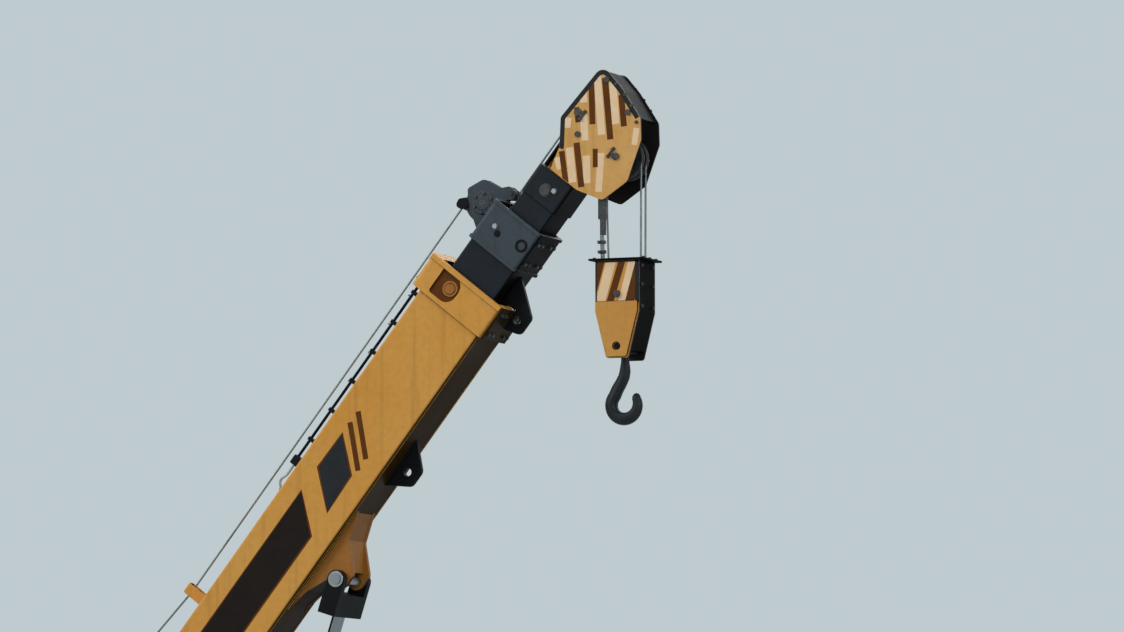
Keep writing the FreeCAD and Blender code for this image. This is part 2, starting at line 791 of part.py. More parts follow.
def hose_rail():
    """The cable rail beside the rope, its end stop and its clamps."""
    rail = new_piece("hose_rail")
    rise = "(%s+rail_over)" % BASE_TOP
    side = "(-%s)" % RAIL_SIDE
    end = "(base_front-collar_length-seat)"
    bar(rail, "x", (side, rise), "rail_radius", "rail_start", end)
    block(rail, ("rail_start-stop_length*2/3", "rail_start+stop_length/3"),
          ("%s-stop_half" % side, "%s+stop_half" % side), (BASE_TOP, "%s+stop_half" % rise))
    pitch = "(%s-rail_start-rail_first-rail_last)/(rail_clamps-1)" % end
    for step in range(int(number("rail_clamps"))):
        along = "rail_start+rail_first+%d*%s" % (step, pitch)
        block(rail, (along, "%s+clamp_length" % along),
              ("%s-clamp_half" % side, "%s+clamp_half" % side),
              (BASE_TOP, "%s+clamp_half" % rise))


def lugs():
    """Plates on the middle line under the base and under the second section's band."""
    body = new_piece("base_lug")
    hole = "(base_low-base_lug_drop)"
    low = "%s-lug_under" % hole
    corners = [
        ("%s-lug_back" % LUG_ALONG, "base_low"),
        ("%s-lug_half" % LUG_ALONG, low, "lug_half*0.8"),
        ("%s+lug_half" % LUG_ALONG, low, "lug_half*0.8"),
        ("%s+lug_front" % LUG_ALONG, "base_low"),
    ]
    plate(body, "side", corners, "-lug_plate/2", "lug_plate/2",
          holes=[(LUG_ALONG, hole, "lug_hole")])
    body = new_piece("band_lug")
    under = "(base_low-collar_under-free_gap)"
    back = "base_front+free_gap"
    hole = "(base_low-band_lug_drop)"
    low = "%s-band_lug_under" % hole
    corners = [
        (back, SECOND_LOW), (back, under), ("band_lug_along-band_lug_back", under, "free_gap"),
        ("band_lug_along-band_lug_half", low, "band_lug_half*0.6"),
        ("band_lug_along+band_lug_half", low, "band_lug_half*0.6"),
        ("base_front+band_lug_foot", SECOND_LOW),
    ]
    plate(body, "side", corners, "-lug_plate/2", "lug_plate/2",
          holes=[("band_lug_along", hole, "lug_hole")])


def second_section():
    """The second section's plates, and the band with two lips round its front."""
    walls("second", HALF_SECOND, SECOND_LOW, SECOND_TOP, "second_plate", "second_corner",
          "second_back", SECOND_FRONT)
    band = new_piece("second_band")
    start = "(%s-band_length)" % SECOND_FRONT
    for proud, span in (
            ("band_proud", (start, SECOND_FRONT)),
            ("(band_proud+band_lip)", (start, "%s+band_lip_width" % start)),
            ("(band_proud+band_lip)", ("%s-band_lip_width" % SECOND_FRONT, SECOND_FRONT))):
        ring_round(band, "%s+%s" % (HALF_SECOND, proud), "%s-%s" % (SECOND_LOW, proud),
                   "%s+%s" % (SECOND_TOP, proud), "%s+seat" % HALF_SECOND,
                   "%s-seat" % SECOND_LOW, "%s+seat" % SECOND_TOP, "second_corner",
                   span[0], span[1])


def ear():
    body = new_piece("ear_plates")
    top = "(%s+band_proud)" % SECOND_TOP
    lip = "(%s+band_proud+band_lip+1)" % SECOND_TOP
    corners = [
        ("ear_along-185", lip), ("ear_along-150", "%s+70" % lip, "30"),
        ("ear_along-72", "%s+72" % EAR_RISE, "40"), ("ear_along+10", "%s+146" % EAR_RISE, "26"),
        ("ear_along+128", "%s+90" % EAR_RISE, "50"), ("ear_along+146", "%s-40" % EAR_RISE, "30"),
        ("hold_down_along+30", "%s+40" % HOLD_RISE, "30"),
        ("hold_down_along+30", "%s-30" % HOLD_RISE, "24"),
        ("hold_down_along-30", "%s-30" % HOLD_RISE, "10"),
        ("%s+6" % SECOND_FRONT, lip),
    ]
    half = "(ear_gap/2)"
    for near, far in (("rope_side+%s" % half, "rope_side+%s+ear_plate" % half),
                      ("rope_side-%s-ear_plate" % half, "rope_side-%s" % half)):
        plate(body, "side", corners, near, far,
              holes=[("ear_along", EAR_RISE, "sheave_pin"),
                     ("hold_down_along", HOLD_RISE, "hold_down_bar*0.5")])
        block(body, ("ear_along-150", "%s-band_lip_width-2" % SECOND_FRONT), (near, far),
              (top, "%s+20" % lip))
    pin = new_piece("ear_pin")
    near, far = ("rope_side-%s-ear_plate-8" % half, "rope_side+%s+ear_plate+8" % half)
    bar(pin, "y", ("ear_along", EAR_RISE), "sheave_pin-fit", near, far)
    bar(pin, "y", ("hold_down_along", HOLD_RISE), "hold_down_bar*0.5-fit", near, far)
    bar(pin, "y", ("hold_down_along", HOLD_RISE), "hold_down_bar",
        "rope_side-%s+1" % half, "rope_side+%s-1" % half)


def sheave_profile(pitch, side, bore, reach):
    """Half section of a rope sheave: bore, hub, web, rim and groove, (radius, side) corners."""
    rim = "(%s+sheave_rim)" % pitch
    floor = "(%s-rope-seat)" % pitch
    under = "(%s-rope-rim_deep)" % pitch
    rows = [
        # radius, half width there
        (bore, reach), ("hub_radius", reach), ("hub_radius", "sheave_web/2"),
        (under, "sheave_web/2"), (under, "sheave_wide/2"), (rim, "sheave_wide/2"),
        (rim, "(sheave_wide/2-rim_lip)"), (floor, "(rope+groove_ease)"),
    ]
    right = [(radius, "%s+%s" % (side, half)) for radius, half in rows]
    left = [(radius, "%s-%s" % (side, half)) for radius, half in rows]
    return right + left[::-1]


def sheaves():
    """The ear's sheave, the head's idler, and the pairs in the head and the block."""
    turned(new_piece("ear_sheave", (world_x("ear_along", EAR_RISE), "rope_side",
                                    world_z("ear_along", EAR_RISE))),
           sheave_profile("ear_sheave", "0", "sheave_pin", "(ear_gap/2-seat)"))
    turned(new_piece("idler_sheave", (world_x("idler_along", IDLER_RISE), "rope_side",
                                      world_z("idler_along", IDLER_RISE))),
           sheave_profile("idler_sheave", "0", "sheave_pin", "(sheave_wide/2+hub_over)"))
    reach = "(sheave_spacing/2-seat)"
    main = new_piece("head_sheaves", (HEAD_X, "0", HEAD_Z))
    for side in ("rope_side", OUT_SIDE):
        turned(main, sheave_profile("main_sheave", side, "sheave_pin", reach))
    low = new_piece("block_sheaves", (HEAD_X, "0", "%s-block_drop" % HEAD_Z))
    for side in (BLOCK_SIDE, "-" + BLOCK_SIDE):
        turned(low, sheave_profile("main_sheave", side, "block_pin", reach))


def third_section():
    """The third section's plates, the ledge round its front, and a lock pin in each side."""
    webs = walls("third", HALF_THIRD, THIRD_LOW, THIRD_TOP, "third_plate", "third_corner",
                 "third_back", THIRD_FRONT)
    spot = ("%s-lock_pin_back" % THIRD_FRONT, "%s+lock_pin_rise" % THIRD_LOW)
    ledge = new_piece("third_collar")
    ring_round(ledge, "%s+ledge_proud" % HALF_THIRD, "%s-ledge_proud" % THIRD_LOW,
               "%s+ledge_proud" % THIRD_TOP, "%s+seat" % HALF_THIRD, "%s-seat" % THIRD_LOW,
               "%s+seat" % THIRD_TOP, "third_corner", "%s-ledge_length" % THIRD_FRONT,
               THIRD_FRONT)
    for body in (webs, ledge):
        bar(body, "y", spot, "lock_pin+fit", "-2*" + HALF_THIRD, "2*" + HALF_THIRD, cut=True)
    pins = new_piece("lock_pins")
    face = "(%s+ledge_proud)" % HALF_THIRD
    for radius, near, far in (("lock_pin", "%s-third_plate" % HALF_THIRD, face),
                              ("lock_pin_head", face, "%s+ledge_proud" % face)):
        for span in both_sides(near, far):
            bar(pins, "y", spot, radius, span[0], span[1])


def head_outline():
    """Side view of the head's plates, from the rear foot round by the top."""
    back = "(%s+root_gap)" % THIRD_FRONT
    return [
        (back, "%s-root_under" % HEAD_TOP, "head_round/3"),
        ("%s+nape_ahead" % back, "%s-nape_under" % HEAD_TOP, "head_round"),
        ("head_front-crown_back", "%s+crown_over" % HEAD_TOP, "head_round"),
        ("head_front", APEX_RISE, "head_round*1.5"),
        ("head_front-brow_back", BROW_RISE, "head_round*3"),
        ("head_front-cheekbone_back", "-cheekbone_drop", "head_round*1.5"),
        ("head_front-chin_back", "-chin_drop", "head_round"),
        ("head_front-jaw_back", "-jaw_drop", "head_round"),
        ("head_front-heel_back", "-heel_drop", "head_round"),
        (back, "-root_drop", "head_round*0.75"),
    ]


def head_section():
    """The head's tube, its two side plates, and the pins and plates between them."""
    walls("head", HALF_HEAD, HEAD_LOW, HEAD_TOP, "head_tube_wall", "head_corner",
          "head_back", "head_tube_front")
    inner = "(%s-head_plate)" % HALF_SPREAD
    holes = [("main_along", MAIN_RISE, "sheave_pin"), ("idler_along", IDLER_RISE, "sheave_pin")]
    plates = new_piece("head_plates")
    for near, far in both_sides(inner, HALF_SPREAD):
        plate(plates, "side", head_outline(), near, far, holes=holes)
    frame = new_piece("head_frame")
    back = "(%s+root_gap)" % THIRD_FRONT
    for low, high in ((HEAD_TOP, "%s+head_plate" % HEAD_TOP),
                      ("%s-head_plate" % HEAD_LOW, HEAD_LOW)):
        block(frame, (back, "head_tube_front"), ("-" + inner, inner), (low, high))
    brow = "head_front-brow_back-guard_inset"
    cheekbone = "head_front-cheekbone_back-guard_inset"
    plate(frame, "side", [
        ("head_front-2*guard_inset", "%s-4*guard_inset" % APEX_RISE), (brow, BROW_RISE, "3*head_round"),
        (cheekbone, "-cheekbone_drop+2*guard_inset"),
        ("%s-guard_plate" % cheekbone, "-cheekbone_drop+2*guard_inset"),
        ("%s-guard_plate" % brow, BROW_RISE, "3*head_round-guard_plate"),
        ("head_front-2*guard_inset-guard_plate", "%s-4*guard_inset" % APEX_RISE),
    ], "-" + inner, inner)
    head_pins(inner)


def head_pins(inner):
    """Sheave pins, tie bars and the stub that holds the rope's dead end."""
    pins = new_piece("head_pins")
    out = "(%s+head_plate)" % HALF_SPREAD
    for spot in (("main_along", MAIN_RISE), ("idler_along", IDLER_RISE)):
        bar(pins, "y", spot, "sheave_pin-fit", "-" + out, out)
    for spot in (("head_front-brow_tie_back", "%s-brow_tie_under" % HEAD_TOP),
                 ("head_front-cheek_tie_back", "-cheek_tie_drop"),
                 ("head_front-crown_tie_back", "%s-crown_tie_under" % HEAD_TOP)):
        bar(pins, "y", spot, "tie_radius", "-" + inner, inner)
        for span in both_sides(HALF_SPREAD, out):
            bar(pins, "y", spot, "tie_head_radius", span[0], span[1])
    bar(pins, "y", anchor_spot(), "anchor_radius", "-" + inner, "%s+anchor_inner" % DEAD_SIDE)
    collars = new_piece("sheave_spacers")
    main_reach = "(sheave_spacing/2+seat)"
    idler_reach = "(sheave_wide/2+hub_over+seat)"
    rows = [
        # place, far side of its sheaves, near side of them
        (("main_along", MAIN_RISE), "rope_side+%s" % main_reach, "%s-%s" % (OUT_SIDE, main_reach)),
        (("idler_along", IDLER_RISE), "rope_side+%s" % idler_reach, "rope_side-%s" % idler_reach),
    ]
    for spot, far, near in rows:
        for low, high in ((far, inner), ("-" + inner, near)):
            bar(collars, "y", spot, "hub_radius-hub_over", low, high)
            bar(collars, "y", spot, "sheave_pin", low, high, cut=True)


def anchor_spot():
    """Where the dead end's stub stands, along and square to the boom."""
    along = "(main_along-main_sheave*cos(boom_angle*1deg)-anchor_drop*sin(boom_angle*1deg))"
    rise = "(%s+main_sheave*sin(boom_angle*1deg)-anchor_drop*cos(boom_angle*1deg))" % MAIN_RISE
    return along, rise


def hook_block():
    """The block's plates, covers, rim, cheek weights, pin and the hook's crosshead."""
    at = (HEAD_X, "0", "%s-block_drop" % HEAD_Z)
    inner = "(block_wide/2-block_plate)"
    outer = "(block_wide/2)"
    trunnion = "(-trunnion_drop)"
    plates = new_piece("block_plates", at, "0")
    corners = [("block_half", "block_top"), ("-block_half", "block_top"),
               ("-block_half", "block_waist"), ("-block_toe", "block_bottom", "20"),
               ("block_toe", "block_bottom", "20"), ("block_half", "block_waist")]
    holes = [("0", "0", "block_pin"), ("0", trunnion, "trunnion_pin+fit")]
    for near, far in both_sides(inner, outer):
        plate(plates, "side", corners, near, far, holes=holes)
    covers = new_piece("block_covers", at, "0")
    for span in both_sides("block_half-block_skin", "block_half"):
        block(covers, span, ("-" + inner, inner), ("block_waist", "block_top"))
    toe = "(block_toe+(block_half-block_toe)*cover_lift/(block_waist-block_bottom))"
    foot = "block_bottom+cover_lift"
    for way in ("", "-"):
        plate(covers, "side", [
            (way + "block_half", "block_waist-seat"), (way + toe, foot),
            ("%s(%s-block_skin)" % (way, toe), foot),
            ("%s(block_half-block_skin)" % way, "block_waist-seat"),
        ], "-" + inner, inner)
    rim = new_piece("block_rim", at, "0")
    top = ("block_top", "block_top+rim_thick")
    deep = "(%s+rim_side)" % outer
    for span in both_sides("block_half-block_skin", "block_half+rim_reach"):
        block(rim, span, ("-" + deep, deep), top)
    for span in both_sides(inner, deep):
        block(rim, ("-(block_half-block_skin-seat)", "block_half-block_skin-seat"), span, top)
    weights = new_piece("block_weights", at, "0")
    side = "(block_half-weight_inset)"
    toe = "(block_toe-weight_inset)"
    corners = [(side, "block_waist+weight_over"), ("-" + side, "block_waist+weight_over"),
               ("-" + side, "block_waist"), ("-" + toe, "block_bottom+weight_inset", "20"),
               (toe, "block_bottom+weight_inset", "20"), (side, "block_waist")]
    for near, far in both_sides(outer, "(%s+weight_plate)" % outer):
        plate(weights, "side", corners, near, far,
              holes=[("0", trunnion, "trunnion_pin+weight_inset")])
    pin = new_piece("block_pin", at, "0")
    bar(pin, "y", ("0", "0"), "block_pin-fit", "-%s-block_pin_over" % outer,
        "%s+block_pin_over" % outer)
    for near, far in both_sides("sheave_spacing+seat", inner):
        bar(pin, "y", ("0", "0"), "hub_radius-hub_over", near, far)
    head = new_piece("crosshead", at, "0")
    half = "(crosshead_wide/2)"
    block(head, ("-" + half, half), ("-%s+free_gap" % inner, "%s-free_gap" % inner),
          ("%s-crosshead_high/2" % trunnion, "%s+crosshead_high/2" % trunnion))
    bar(head, "y", ("0", trunnion), "trunnion_pin", "-%s-trunnion_over" % outer,
        "%s+trunnion_over" % outer)
    bar(head, "z", ("0", "0"), "shank+fit", "%s-crosshead_high" % trunnion,
        "%s+crosshead_high" % trunnion, cut=True)
    return at


def hook(at):
    """Shank, nut and a forged hook with a crescent bowl open to +X."""
    drop = number("hook_centre_drop")
    inner = number("bowl_inner")
    outer = number("bowl_outer")
    thick = number("hook_thick")
    neck = number("hook_neck")
    shank = number("shank")
    trunnion = -number("trunnion_drop")
    half_head = number("crosshead_high") / 2
    gap = number("seat")

    def spot(radius, degrees, x=0.0, z=-drop):
        return FreeCAD.Vector(x + radius * math.cos(math.radians(degrees)), 0,
                              z + radius * math.sin(math.radians(degrees)))

    shift = (outer - inner) * 0.18
    inside = Part.Arc(spot(inner, 42), spot(inner, -80), spot(inner, 158)).toShape()
    low = spot(outer, 140, -shift)
    outside = Part.Arc(low, spot(outer, -80, -shift), spot(outer, 28, -shift)).toShape()
    tip = Part.Arc(spot(outer, 28, -shift), spot((inner + outer) / 2 + 8, 44), spot(inner, 42))
    root = -drop + outer * 1.42
    top = trunnion - half_head - gap
    right = Part.Arc(spot(inner, 158), spot(inner * 1.3, 118), FreeCAD.Vector(neck * 0.8, 0, root))
    left = Part.Arc(FreeCAD.Vector(-neck * 0.8, 0, root), spot(outer * 1.05, 124, -shift), low)
    across = Part.makeLine(FreeCAD.Vector(neck * 0.8, 0, root), FreeCAD.Vector(-neck * 0.8, 0, root))
    wire = Part.Wire(Part.__sortEdges__([inside, right.toShape(), across, left.toShape(), outside,
                                         tip.toShape()]))
    face = Part.Face(wire)
    face.translate(FreeCAD.Vector(0, -thick / 2, 0))
    solid = face.extrude(FreeCAD.Vector(0, thick, 0))
    stem = Part.makeCylinder(neck * 0.78, top - root + 20, FreeCAD.Vector(0, 0, root - 20))
    pole = Part.makeCylinder(shank, 2 * half_head + gap + 60, FreeCAD.Vector(0, 0, top))
    nut = Part.makeCylinder(neck, number("nut_high"), FreeCAD.Vector(0, 0, trunnion + half_head + gap))
    body = doc.addObject("Part::Feature", "hook")
    body.Label = "hook"
    body.Shape = solid.fuse([stem, pole, nut]).removeSplitter()
    bind(body, Placement__Base__x=at[0], Placement__Base__y=at[1], Placement__Base__z=at[2])
    pieces.append(body)


class Path:
    """A rope's path of lines and arcs in one plane, (along, rise) at one side."""

    def __init__(self, side):
        self.side = side
        self.edges = []
        self.here = None

    def vector(self, spot):
        return FreeCAD.Vector(spot[0], self.side, spot[1])

    def line(self, spot):
        if self.here is not None:
            self.edges.append(Part.makeLine(self.vector(self.here), self.vector(spot)))
        self.here = spot

    def arc(self, centre, radius, start, end):
        """Round a centre between two angles in degrees, after a line to its start."""
        def at(angle):
            turn = math.radians(angle)
            return (centre[0] + radius * math.cos(turn), centre[1] + radius * math.sin(turn))
        self.line(at(start))
        middle = self.vector(at((start + end) / 2))
        self.edges.append(Part.Arc(self.vector(at(start)), middle, self.vector(at(end))).toShape())
        self.here = at(end)

    def pipe(self, radius):
        wire = Part.Wire(self.edges)
        first = wire.Edges[0]
        begin = first.valueAt(first.FirstParameter)
        way = first.tangentAt(first.FirstParameter)
        ring = Part.Wire([Part.makeCircle(radius, begin, way)])
        return wire.makePipeShell([ring], True, False)


def rope_piece(label, shapes):
    body = doc.addObject("Part::Feature", label)
    body.Label = label
    body.Shape = shapes[0] if len(shapes) == 1 else Part.makeCompound(shapes)
    pieces.append(body)
    return body


def in_boom(body):
    turn = FreeCAD.Rotation(FreeCAD.Vector(0, 1, 0), -1)
    body.Placement = FreeCAD.Placement(FreeCAD.Vector(0, 0, 0), turn)
    bind(body, Placement__Rotation__Angle="-boom_angle*1deg")


def tangent_angles(first, radius_first, second, radius_second, crossing):
    """Angles on both circles where a rope leaves the first clockwise for the second."""
    gap_x, gap_z = second[0] - first[0], second[1] - first[1]
    way = math.degrees(math.atan2(gap_z, gap_x))
    reach = math.hypot(gap_x, gap_z)
    if crossing:
        tilt = math.degrees(math.acos((radius_first + radius_second) / reach))
        return way + tilt, way + tilt + 180
    tilt = math.degrees(math.acos((radius_first - radius_second) / reach))
    return way + tilt, way + tilt


def ropes():
    rope = number("rope")
    side = number("rope_side")
    run = number(ROPE_RISE)
    drum = number("drum_radius") + rope + number("seat")
    winch_at = (number("winch_along"), number(WINCH_RISE))
    guide = (number("guide_along"), run)
    # from the top of the drum to the guide, then level with the boom to the ear
    way = math.degrees(math.atan2(guide[1] - winch_at[1], guide[0] - winch_at[0]))
    tilt = math.degrees(math.acos(drum / math.hypot(guide[0] - winch_at[0], guide[1] - winch_at[1])))
    path = Path(side)
    turn = math.radians(way + tilt)
    path.line((winch_at[0] + drum * math.cos(turn), winch_at[1] + drum * math.sin(turn)))
    path.line(guide)
    first = path.pipe(rope)
    path = Path(side)
    path.line(guide)
    path.line((number("ear_along") - 1, run))
    in_boom(rope_piece("rope_base", [first, path.pipe(rope)]))
    # over the ear sheave, under the hold-down bar and on to the third section
    ear_at = (number("ear_along"), number(EAR_RISE))
    hold_at = (number("hold_down_along"), number(HOLD_RISE))
    pitch = number("ear_sheave")
    held = number("hold_down_bar") + rope + number("seat")
    leave, arrive = tangent_angles(ear_at, pitch, hold_at, held, True)
    path = Path(side)
    path.arc(ear_at, pitch, 90, leave)
    path.arc(hold_at, held, arrive, 270)
    meet = number(THIRD_FRONT) - number("ledge_length") / 2
    path.line((meet, hold_at[1] - held))
    in_boom(rope_piece("rope_second", [path.pipe(rope)]))
    # from there to the head's idler
    idler_at = (number("idler_along"), number(IDLER_RISE))
    idler = number("idler_sheave")
    path = Path(side)
    path.line((meet + 0.2, hold_at[1] - held))
    path.line((number(THIRD_FRONT) + 4, hold_at[1] - held))
    in_boom(rope_piece("rope_third", [path.pipe(rope)]))
    # round the idler and the main sheave
    main_at = (number("main_along"), number(MAIN_RISE))
    main = number("main_sheave")
    leave, arrive = tangent_angles(idler_at, idler, main_at, main, False)
    down = -number("boom_angle")
    path = Path(side)
    path.line((number(THIRD_FRONT) + 4.2, hold_at[1] - held))
    path.arc(idler_at, idler, 90, leave)
    path.arc(main_at, main, arrive, down)
    back = Path(side - number("sheave_spacing"))
    back.arc(main_at, main, 180 + down, down)
    in_boom(rope_piece("rope_head", [path.pipe(rope), back.pipe(rope)]))
    falls(rope)


def falls(rope):
    """The four parts of rope between the head and the block, and the turns under it."""
    main = number("main_sheave")
    drop = number("block_drop")
    low = number(BLOCK_SIDE)
    head_in = number("rope_side")
    head_out = number(OUT_SIDE)
    dead = number(DEAD_SIDE)
    gap = number("rope_joint")
    socket = number("socket_drop") + number("socket_length")

    def fall(x, y_top, y_low, start):
        top = FreeCAD.Vector(x, y_top, -start)
        way = FreeCAD.Vector(x, y_low, -drop) - top
        reach = way.Length
        way.normalize()
        return Part.makeCylinder(rope, reach - 2 * gap, top + way * gap, way)

    rows = [(main, head_in, low), (-main, head_out, low), (main, head_out, -low)]
    for label, solids in (
            ("rope_falls", [fall(x, y_top, y_low, 0) for x, y_top, y_low in rows]),
            ("rope_dead_end", [fall(-main, dead, -low, socket)])):
        body = rope_piece(label, solids)
        bind(body, Placement__Base__x=HEAD_X, Placement__Base__z=HEAD_Z)
    loops = []
    for y in (low, -low):
        loop = Path(y)
        loop.arc((0, 0), main, 0, -180)
        loops.append(loop.pipe(rope))
    body = rope_piece("rope_block", loops)
    bind(body, Placement__Base__x=HEAD_X, Placement__Base__z="%s-block_drop" % HEAD_Z)


def dead_end():
    """The fork, wedge body and socket that hold the rope's end on the head's stub."""
    body = new_piece("dead_end_socket", (HEAD_X, "0", HEAD_Z), "0")
    x = "(-main_sheave)"
    side = DEAD_SIDE
    low = "(-socket_drop-socket_length)"
    bar(body, "z", (x, side), "socket_radius", low, "-socket_drop-socket_lap")
    block(body, ("%s-clevis_half" % x, "%s+clevis_half" % x),
          ("%s-clevis_side" % side, "%s+clevis_side" % side),
          ("-socket_drop-socket_lap-socket_radius", "-anchor_drop"))
    bar(body, "y", (x, "-anchor_drop"), "clevis_half", "%s-clevis_side" % side,
        "%s+clevis_side" % side)
    bar(body, "y", (x, "-anchor_drop"), "anchor_radius+fit", "%s-2*clevis_side" % side,
        "%s+2*clevis_side" % side, cut=True)
    bar(body, "z", (x, side), "rope+seat", "%s-1" % low, "%s+socket_radius" % low, cut=True)


base_section()
second_section()
third_section()
head_section()
slide_pads()
foot()
lift_bracket()
lift_cylinder()
winch()
rope_guide()
hose_rail()
lugs()
ear()
sheaves()
hook(hook_block())
ropes()
dead_end()
doc.recompute()

faults = [thing.Label for thing in doc.Objects
          if any(word in thing.State for word in ("Invalid", "Error"))]
if faults:
    raise RuntimeError("not built: " + ", ".join(faults))
os.makedirs("parts", exist_ok=True)
for piece in pieces:
    shape = piece.Shape
    if shape.isNull() or not shape.isValid() or not shape.Solids:
        raise RuntimeError("bad shape: " + piece.Label)
    shape.exportStep("parts/%s.step" % piece.Label)
    box = shape.BoundBox
    print("%-18s %2d solids %10.0f cm3  x %7.0f %7.0f  y %6.0f %6.0f  z %7.0f %7.0f" % (
        piece.Label, len(shape.Solids), shape.Volume / 1000, box.XMin, box.XMax,
        box.YMin, box.YMax, box.ZMin, box.ZMax))
print(len(pieces), "pieces")
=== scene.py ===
import bpy, bmesh, math
from mathutils import Matrix, Vector


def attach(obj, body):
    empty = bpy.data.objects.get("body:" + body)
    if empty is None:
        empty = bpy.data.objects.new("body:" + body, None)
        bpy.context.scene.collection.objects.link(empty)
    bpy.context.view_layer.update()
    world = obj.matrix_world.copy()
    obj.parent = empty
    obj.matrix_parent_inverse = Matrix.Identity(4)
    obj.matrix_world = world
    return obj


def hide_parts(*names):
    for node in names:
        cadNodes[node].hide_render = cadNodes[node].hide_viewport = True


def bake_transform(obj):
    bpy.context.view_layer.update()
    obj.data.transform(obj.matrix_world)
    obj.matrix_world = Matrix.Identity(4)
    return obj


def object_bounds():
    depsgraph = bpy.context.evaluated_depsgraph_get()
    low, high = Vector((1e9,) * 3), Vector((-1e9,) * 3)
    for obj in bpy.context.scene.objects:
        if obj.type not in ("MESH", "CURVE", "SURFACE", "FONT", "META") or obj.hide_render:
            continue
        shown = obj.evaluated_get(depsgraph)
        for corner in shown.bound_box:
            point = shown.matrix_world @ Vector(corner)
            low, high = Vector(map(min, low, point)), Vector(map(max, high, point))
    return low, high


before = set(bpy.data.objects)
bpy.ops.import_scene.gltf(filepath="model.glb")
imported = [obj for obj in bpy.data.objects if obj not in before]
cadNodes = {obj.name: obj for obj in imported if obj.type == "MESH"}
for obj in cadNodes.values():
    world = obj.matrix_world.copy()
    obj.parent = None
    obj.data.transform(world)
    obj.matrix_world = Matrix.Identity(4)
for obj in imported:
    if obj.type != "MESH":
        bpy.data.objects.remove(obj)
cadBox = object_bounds()
boomTilt = math.radians(52)
print("frame loaded:", len(cadNodes), "nodes")


def boomPoint(along, side, rise):
    # millimetres along, across and above the boom, to metres in the frame
    return Vector((along * math.cos(boomTilt) - rise * math.sin(boomTilt), side,
                   along * math.sin(boomTilt) + rise * math.cos(boomTilt))) / 1000


def boomWay(along, side, rise):
    return boomPoint(along, side, rise).normalized()


def paintColour(hexText):
    # an sRGB hex value turned to the linear colour that Blender wants
    parts = [int(hexText[i:i + 2], 16) / 255 for i in (1, 3, 5)]
    return [c / 12.92 if c <= 0.04045 else ((c + 0.055) / 1.055) ** 2.4 for c in parts] + [1.0]


def addNode(tree, kind, into=None, **settings):
    # one node with its settings; an input takes a value, a socket, or a node's first live output
    node = tree.nodes.new(kind)
    for key, value in settings.items():
        setattr(node, key, value)
    for socket, value in (into or {}).items():
        if isinstance(value, bpy.types.Node):
            value = next(out for out in value.outputs if out.enabled)
        if isinstance(value, bpy.types.NodeSocket):
            tree.links.new(value, node.inputs[socket])
        else:
            node.inputs[socket].default_value = value
    return node


def tiedTo(tree, front=""):
    # the same function for one tree, whose kinds may all begin alike
    return lambda kind, into=None, **settings: addNode(tree, front + kind, into, **settings)


# camera, floor and soft studio light
photoView = {"azimuth": 22.0, "elevation": -5.0, "distance": 44.0, "widthOfView": 7.182,
             "sensor": 36, "farthest": 400, "aim": (4900, -215, -206), "aimRight": 0.381, "aimDown": 0.049}


def placeCamera():
    a, e = math.radians(photoView["azimuth"]), math.radians(photoView["elevation"])
    back = Vector((math.sin(a) * math.cos(e), -math.cos(a) * math.cos(e), math.sin(e)))
    right = Vector((math.cos(a), math.sin(a), 0))
    up = back.cross(right)
    aim = boomPoint(*photoView["aim"]) + right * photoView["aimRight"] - up * photoView["aimDown"]
    data = bpy.data.cameras.new("photoCamera")
    data.sensor_width = photoView["sensor"]
    data.lens = photoView["sensor"] * photoView["distance"] / photoView["widthOfView"]
    data.clip_end = photoView["farthest"]
    camera = bpy.data.objects.new("photoCamera", data)
    bpy.context.collection.objects.link(camera)
    camera.location = aim + back * photoView["distance"]
    camera.rotation_mode = "QUATERNION"
    camera.rotation_quaternion = (-back).to_track_quat("-Z", "Y")
    bpy.context.scene.camera = camera


skyColour = "#BFCBCF"
floorSizes = {"radius": 160, "sides": 96, "middle": 2, "under": 0.004, "hazeFrom": 3.0, "hazeTo": 14.0}


def seenDirectly(add):
    # 1 for what the camera sees and for what mirrors in the object
    path = add("LightPath")
    return add("Math", {0: path.outputs["Is Camera Ray"], 1: path.outputs["Is Glossy Ray"]},
                   operation="MAXIMUM")


def layFloor():
    # one pale disc under the lowest point, melting into the sky far out
    shape = bmesh.new()
    bmesh.ops.create_circle(shape, cap_ends=True, segments=floorSizes["sides"], radius=floorSizes["radius"])
    mesh = bpy.data.meshes.new("studioFloor")
    shape.to_mesh(mesh)
    shape.free()
    mesh.transform(Matrix.Translation((floorSizes["middle"], 0, cadBox[0][2] - floorSizes["under"])))
    floor = bpy.data.objects.new("studioFloor", mesh)
    bpy.context.collection.objects.link(floor)
    paint = bpy.data.materials.new("palePlaster")
    paint.use_nodes = True
    tree = paint.node_tree
    add = tiedTo(tree, "ShaderNode")
    shader = tree.nodes["Principled BSDF"]
    shader.inputs["Roughness"].default_value = 0.85
    shown = seenDirectly(add)
    plaster = add("Mix", {0: shown, 6: paintColour("#8D8F8D"), 7: paintColour("#CFD6D9")},
                      data_type="RGBA")
    tree.links.new(plaster.outputs[2], shader.inputs["Base Color"])
    place = add("TexCoord").outputs["Object"]
    away = add("VectorMath", {0: place}, operation="LENGTH")
    haze = add("MapRange", {0: away, 1: floorSizes["hazeFrom"], 2: floorSizes["hazeTo"]})
    hazed = add("Math", {0: haze, 1: shown}, operation="MULTIPLY")
    sky = add("Emission", {"Color": paintColour(skyColour)})
    both = add("MixShader", {0: hazed, 1: shader, 2: sky})
    tree.links.new(both.outputs[0], tree.nodes["Material Output"].inputs["Surface"])
    mesh.materials.append(paint)


